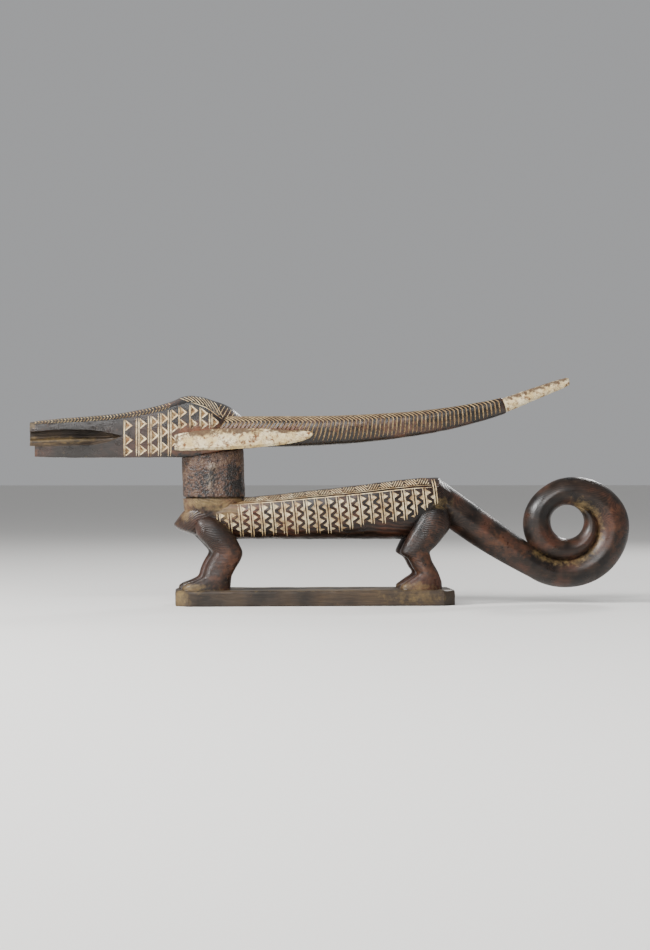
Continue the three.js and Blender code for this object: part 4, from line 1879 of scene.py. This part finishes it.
    def crown_lines(self, hatch: CrownHatch) -> Strokes:
        """The slanting lines of one family on the crown.

        Args:
            hatch: how the lines stand.

        Returns:
            The strokes.
        """
        strokes = Strokes()
        low, high = hatch.low, hatch.high
        for x in np.arange(hatch.first, hatch.last, hatch.pitch):
            shares = np.linspace(low, high, 10)
            points = [self.on_roof(x + hatch.lean * (s - low) / (high - low), s) for s in shares]
            strokes.draw(points, self.crown_radius)
        return strokes

    def edge_line(self) -> Strokes:
        """The pale line along the edge of the crown above the cheek."""
        strokes = Strokes()
        strokes.draw([self.on_roof(x, 0.97) for x in np.linspace(-142, -106, 16)], self.edge_radius)
        return strokes


@dataclass
class Ear:
    """A flat ear laid back along the horn, smeared with white clay."""

    lower: Line = Line((
        (-160, 177), (-152, 176), (-116, 176.8), (-80, 179), (-40, 182.8), (-14, 187.8), (-5, 192.4),
        (-3.4, 194.6),
    ))
    upper: Line = Line((
        (-160, 196.8), (-152, 198), (-116, 200.6), (-80, 201.6), (-40, 200), (-14, 198.6), (-5, 197.6),
        (-3.4, 196.2),
    ))
    inner: Line = Line(((-160, 22), (-110, 25), (-40, 27.5), (-4, 29)))
    thick: Line = Line(((-160, 9), (-116, 12), (-40, 9), (-4, 5)))
    step: float = 1.2
    side_points: int = 5
    crust_marks: ToolMarks = ToolMarks(0.4, 4.2, 6.0)

    def solid(self, finish: Material) -> Solid:
        """The near ear with its crust."""
        first, last = self.lower.stations[0][0], self.lower.stations[-1][0]
        rings = []
        for x in (*np.arange(first, last, self.step), last):
            low, high = float(self.lower(x)), float(self.upper(x))
            inner, outer = -float(self.inner(x)), -float(self.inner(x)) - float(self.thick(x))
            tall = high - low
            corners = [
                (inner, low),
                (inner, high - 0.1),
                (inner - 0.35 * (inner - outer), high),
                (outer + 0.1, high - 0.24 * tall),
                (outer, high - 0.55 * tall),
                (outer + 0.5, low + 0.14 * tall),
                (outer + 0.3 * (inner - outer), low),
            ]
            rings.append(across(x, self.filled(corners)))
        return skin("ear", self.crust_marks.worked(np.array(rings)), finish)

    def filled(self, corners: list[tuple[float, float]]) -> list[tuple[float, float]]:
        """More points on each side of an outline, so that the crust can be rough.

        Args:
            corners: the outline's y and z values.

        Returns:
            The corners with the points between them.
        """
        out = []
        for k, a in enumerate(corners):
            b = corners[(k + 1) % len(corners)]
            for t in np.arange(self.side_points) / self.side_points:
                out.append((a[0] + (b[0] - a[0]) * t, a[1] + (b[1] - a[1]) * t))
        return out


@dataclass
class Horn:
    """A ringed horn that sweeps back over the body and ends in a pale bare tip."""

    centre: Line = Line((
        (-116, 197.4), (-60, 197.9), (-10, 198.6), (40, 200.7), (93, 205), (140, 211), (180, 218.8),
        (216, 228), (250, 240.6), (292.5, 256.6),
    ))
    half_height: Line = Line((
        (-116, 17.6), (-60, 17.8), (-10, 17.2), (40, 16.4), (93, 15), (140, 13.4), (180, 11.6),
        (215.9, 9.6),
    ))
    tip_half: Line = Line(((212, 8.2), (250, 6.8), (284, 5.3), (290.5, 4.8), (292.5, 3.2)))
    offset: Line = Line(((-116, 14.5), (0, 16.5), (140, 18.5), (290, 18.5)))
    aspect: float = 0.74
    squareness: float = 2.2
    root: float = -116.0
    ringed_end: float = 215.9
    ringed_step: float = 2.2
    ringed_sides: int = 40
    ringed_marks: ToolMarks = ToolMarks(0.2, 12.0, 3.0)
    shoulder: Table = ((0.8, 0.5), (1.3, 1.5))
    tip_span: tuple[float, float, float] = (210.0, 289.0, 1.6)
    tip_ends: tuple[float, ...] = (289.6, 290.8, 291.8, 292.5)
    tip_sides: int = 28
    tip_marks: ToolMarks = ToolMarks(0.45, 4.6, 8.0)
    rubbed_span: tuple[float, float, float] = (222.0, 286.0, 9.0)
    rubbed_reach: tuple[float, float, float] = (9.0, 13.0, 3.6)
    rubbed_strength: float = 1.14
    groove_pitch: float = 4.7
    groove_play: float = 0.4
    groove_first: float = -108.0
    groove_radius: float = 0.92
    groove_top_deg: float = 126.0
    groove_foot_deg: Line = Line(((-116, -25), (-30, -27), (30, -44), (216, -44)))
    spine_deg: float = 37.0
    lean_above: Line = Line(((-116, 1.05), (100, 0.85), (216, 0.45)))
    lean_below: Line = Line(((-116, 0.8), (-40, 0.7), (25, 0.25), (216, 0.12)))

    def point(self, x: float, angle: float | np.ndarray, half: float) -> np.ndarray:
        """Points round the horn at one place along it.

        Args:
            x: the place of the centre line.
            angle: 0 on the outer side, a quarter turn at the top.
            half: half the height there.

        Returns:
            One row for each angle.
        """
        slope = float(self.centre(x + 0.5) - self.centre(x - 0.5))
        c, s = rounded(np.atleast_1d(angle), self.squareness)
        up = np.array([-slope, 0, 1]) / math.hypot(1, slope)
        centre = np.array([x, -float(self.offset(x)), float(self.centre(x))])
        return centre + np.outer(s * half, up) + np.outer(c * half * self.aspect, np.array([0, -1, 0]))

    def ringed_part(self, finish: Material) -> Solid:
        """The dark part that carries the rings."""
        angles = ring_angles(self.ringed_sides)
        places = (*np.arange(self.root, self.ringed_end, self.ringed_step), self.ringed_end)
        rings = [self.point(x, angles, float(self.half_height(x))) for x in places]
        last = float(self.half_height(self.ringed_end))
        rings += [self.point(self.ringed_end + out, angles, last - inset) for out, inset in self.shoulder]
        return skin("horn", self.ringed_marks.worked(np.array(rings)), finish)

    def tip(self, finish: Material) -> Solid:
        """The pale tip, a little thinner than the ringed part, with a knife-faceted surface."""
        angles = ring_angles(self.tip_sides)
        places = (*np.arange(*self.tip_span), *self.tip_ends)
        rings = [self.point(x, angles, float(self.tip_half(x))) for x in places]
        return skin("horn_tip", self.tip_marks.worked(np.array(rings)), finish)

    def rubbed_top(self) -> Patches:
        """The places of a rubbed streak along the top of the tip."""
        places = np.arange(*self.rubbed_span)
        crests = self.centre(places) + 0.85 * self.tip_half(places)
        middles = [(float(x), -18.5, float(z)) for x, z in zip(places, crests)]
        return tuple(Patch(middle, self.rubbed_reach, self.rubbed_strength) for middle in middles)

    def grooves(self) -> Strokes:
        """The rings: bent like a herringbone at the root and nearly upright towards the tip."""
        strokes = Strokes()
        spine = math.radians(self.spine_deg)
        for k, start in enumerate(np.arange(self.groove_first, self.ringed_end + 6, self.groove_pitch)):
            x = float(start) + self.groove_play * ripple(k * 0.7)
            half = float(self.half_height(x))
            points = []
            for angle in np.radians(np.linspace(self.groove_top_deg, float(self.groove_foot_deg(x)), 24)):
                lean = float(self.lean_above(x) if angle > spine else self.lean_below(x))
                at = x - lean * abs(angle - spine) * half
                if at < self.ringed_end - 1.5:
                    points.append(self.point(at, angle, float(self.half_height(at)))[0])
            if len(points) > 2:
                strokes.draw(points, self.groove_radius, 0.3)
        return strokes


def build_body(shop: Workshop) -> Solid:
    """The body, legs, tail and base as one carving."""
    torso, legs, tail = Torso(), Legs(), Tail()
    carving = Carving(torso.solid("torso", shop.wood), shop)
    carving.join([Base().solid(shop.base_wood), *legs.solids(shop.wood)])
    carving.join([*tail.solids(shop), Neck().root(shop.wood)])
    carving.groove("upright_lines", torso.upright_lines(), shop.inlay)
    carving.chip("teeth", torso.teeth(), shop.inlay)
    carving.groove("roof_hatch", torso.roof_hatch(), shop.inlay)
    carving.groove("level_lines", torso.level_lines(), shop.inlay)
    carving.groove("toes", legs.toes(), shop.wood)
    dust = (
        Patch((-116, 0, 117), (50, 60, 9), 0.86),
        *both_sides(
            Patch((-100, -28, 109), (17, 14, 11), 0.76),
            Patch((-150, -16, 107), (16, 22, 12), 0.6),
            Patch((-140, -34, 21), (22, 20, 5), 0.7),
            Patch((112, -34, 21), (20, 20, 6), 0.72),
            Patch((145, -24, 115), (15, 14, 9), 0.5),
            Patch((-154, -38, 10), (10, 20, 14), 0.72),
            Patch((110, -44, 9), (44, 8, 8), 0.5),
            Patch((0, -30, 18), (160, 22, 2), 0.42),
            Patch((308, -10, 112), (12, 14, 9), 0.75),
            *tail.seam_dust(),
        ),
    )
    wear = both_sides(
        Patch((-96, -37, 48), (14, 10, 22), 0.62),
        Patch((-112, -40, 32), (26, 10, 12), 0.42),
        Patch((128, -36, 46), (20, 10, 22), 0.55),
        Patch((132, -38, 84), (16, 10, 20), 0.35),
        Patch((215, -16, 66), (40, 14, 20), 0.42),
        Patch((352, -10, 90), (14, 16, 44), 0.42),
    )
    return carving.dress("body_carved", dust, wear, "body")


def build_head(shop: Workshop) -> Solid:
    """The head, ears and horns as one carving."""
    head, horn = Head(), Horn()
    carving = Carving(head.solid("skull", shop.head_wood), shop)
    ringed, tip, ear = horn.ringed_part(shop.head_wood), horn.tip(shop.crust), Ear().solid(shop.crust)
    far_ear = mirrored(ear)
    carving.cut_both_sides(head.mouth(shop.base_wood))
    carve(carving.piece, head.jaw_end(shop.head_wood), Carve.CUT)
    carving.join([ringed, mirrored(ringed), tip, mirrored(tip), Neck().head_stub(shop.head_wood)])
    carving.groove("horn_rings", horn.grooves(), shop.tan_line)
    carving.groove("cheek_lines", head.cheek_lines(), shop.inlay)
    carving.chip("cheek_chips", head.cheek_chips(0.0, 0.7), shop.inlay)
    carving.chip("cheek_floors", head.cheek_chips(1.5, 0.95), shop.brown_inlay)
    carving.groove("snout_ticks", head.snout_ticks(), shop.fine_clay)
    carving.groove("crown_down", head.crown_lines(head.crown_front), shop.inlay)
    carving.groove("crown_net", head.crown_lines(head.crown_back), shop.inlay)
    carving.groove("crown_edge", head.edge_line(), shop.inlay)
    carving.join([ear, far_ear])
    dust = both_sides(
        Patch((-290, -10, 188.4), (46, 8, 2.2), 0.95),
        Patch((-275, -11, 186), (56, 5, 7), 0.42),
        Patch((-322, -10, 204), (6, 14, 7), 0.6),
    )
    wear = both_sides(
        Patch((-320, -14, 173), (8, 10, 6), 0.5),
        Patch((-168, -14, 231), (12, 18, 8), 0.7),
        Patch((-134, -34, 198.5), (30, 20, 8.0), 1.2),
        Patch((-88, -34, 200.5), (34, 20, 7.0), 1.18),
        Patch((-34, -34, 200), (26, 20, 5.0), 1.14),
        Patch((-158, -34, 188), (4, 20, 16), 1.0),
        # Painted shade: a dark band of bare colour along the ear's lower edge, where the shadow under the ear
        # falls.
        Patch((-110, -34, 175), (60, 20, 2.8), 1.1),
        *horn.rubbed_top(),
        Patch((100, -24, 203), (110, 12, 12), 0.55),
    )
    return carving.dress("head_carved", dust, wear, "head")


def build_collar(shop: Workshop) -> Solid:
    """The hide collar round the neck."""
    carving = Carving(Neck().collar(shop.hide), shop)
    # The grey on the knob and down the seam below it is partly rubbed hide and partly a painted highlight.
    wear = (Patch((-118, -29, 158), (6, 6, 6), 0.62), Patch((-119, -29, 138), (7, 6, 18), 0.5))
    return carving.dress("collar_hide", (), wear, "neck_collar")


@dataclass(frozen=True)
class Softbox:
    """A square light aimed at the figure: its place and side in metres, and its power in watts."""

    name: str
    place: Triple
    side: float
    power: float


@dataclass(frozen=True)
class Studio:
    """A pale floor, soft lights and a camera level with the figure, a little to the head's side."""

    floor_colour: str = "#E0DEDA"
    floor_roughness: float = 0.7
    floor_half_m: float = 30.0
    air_colour: str = "#DEDFE1"
    air_strength: float = 0.52
    softboxes: tuple[Softbox, ...] = (
        Softbox("side", (-1.6, -0.8, 1.3), 0.6, 82.0),
        Softbox("front", (-0.5, -2.0, 1.4), 1.2, 50.0),
        Softbox("rim", (1.0, 1.6, 1.25), 0.4, 17.0),
    )
    distance_mm: float = 2600.0
    azimuth_deg: float = 4.0
    aim: Triple = (12.5, 0.0, 148.5)
    mm_per_px: float = 1.15
    sensor_mm: float = 36.0

    def build(self) -> None:
        """Set the stage."""
        self.floor()
        self.air()
        self.camera()
        for softbox in self.softboxes:
            self.light(softbox)

    def floor(self) -> None:
        """The floor under the figure."""
        half = self.floor_half_m / MM
        corners = np.array([(-half, -half, 0), (half, -half, 0), (half, half, 0), (-half, half, 0)])
        matt = bpy.data.materials.new("matt_floor_paint")
        matt.use_nodes = True
        shader = matt.node_tree.nodes["Principled BSDF"]
        shader.inputs["Base Color"].default_value = linear(self.floor_colour)
        shader.inputs["Roughness"].default_value = self.floor_roughness
        make_object("floor", corners, [[0, 1, 2, 3]], matt)

    def air(self) -> None:
        """Even light from all round."""
        world = bpy.data.worlds.new("studio_air")
        world.use_nodes = True
        sky = world.node_tree.nodes["Background"]
        sky.inputs["Color"].default_value = linear(self.air_colour)
        sky.inputs["Strength"].default_value = self.air_strength
        bpy.context.scene.world = world

    def light(self, softbox: Softbox) -> None:
        """Hang one softbox and turn it to the figure.

        Args:
            softbox: its name, place, size and power.
        """
        data = bpy.data.lights.new(softbox.name, "AREA")
        data.size = softbox.side
        data.energy = softbox.power
        lamp = linked(softbox.name, data)
        lamp.location = softbox.place
        aim = Vector(self.aim) * MM - Vector(softbox.place)
        lamp.rotation_euler = aim.to_track_quat("-Z", "Y").to_euler()

    def camera(self) -> None:
        """The camera at the photograph's distance, height and turn."""
        data = bpy.data.cameras.new("camera")
        data.sensor_width = self.sensor_mm
        data.lens = self.sensor_mm * self.distance_mm / (PHOTO_LONG_SIDE_PX * self.mm_per_px)
        turn = math.radians(self.azimuth_deg)
        back = Vector((-math.sin(turn), -math.cos(turn), 0)) * self.distance_mm * MM
        camera = linked("camera", data)
        camera.location = Vector(self.aim) * MM + back
        camera.rotation_euler = (-back).to_track_quat("-Z", "Y").to_euler()
        bpy.context.scene.camera = camera


def main() -> None:
    """Build the pieces in order, then the studio."""
    logging.basicConfig(level=logging.INFO, format="%(name)s: %(message)s")
    shop = Workshop.open()
    for build in (build_body, build_head, build_collar):
        piece = build(shop)
        log.info("%s: %d faces", piece.name, len(piece.data.polygons))
    Studio().build()


if __name__ == "__main__":
    main()
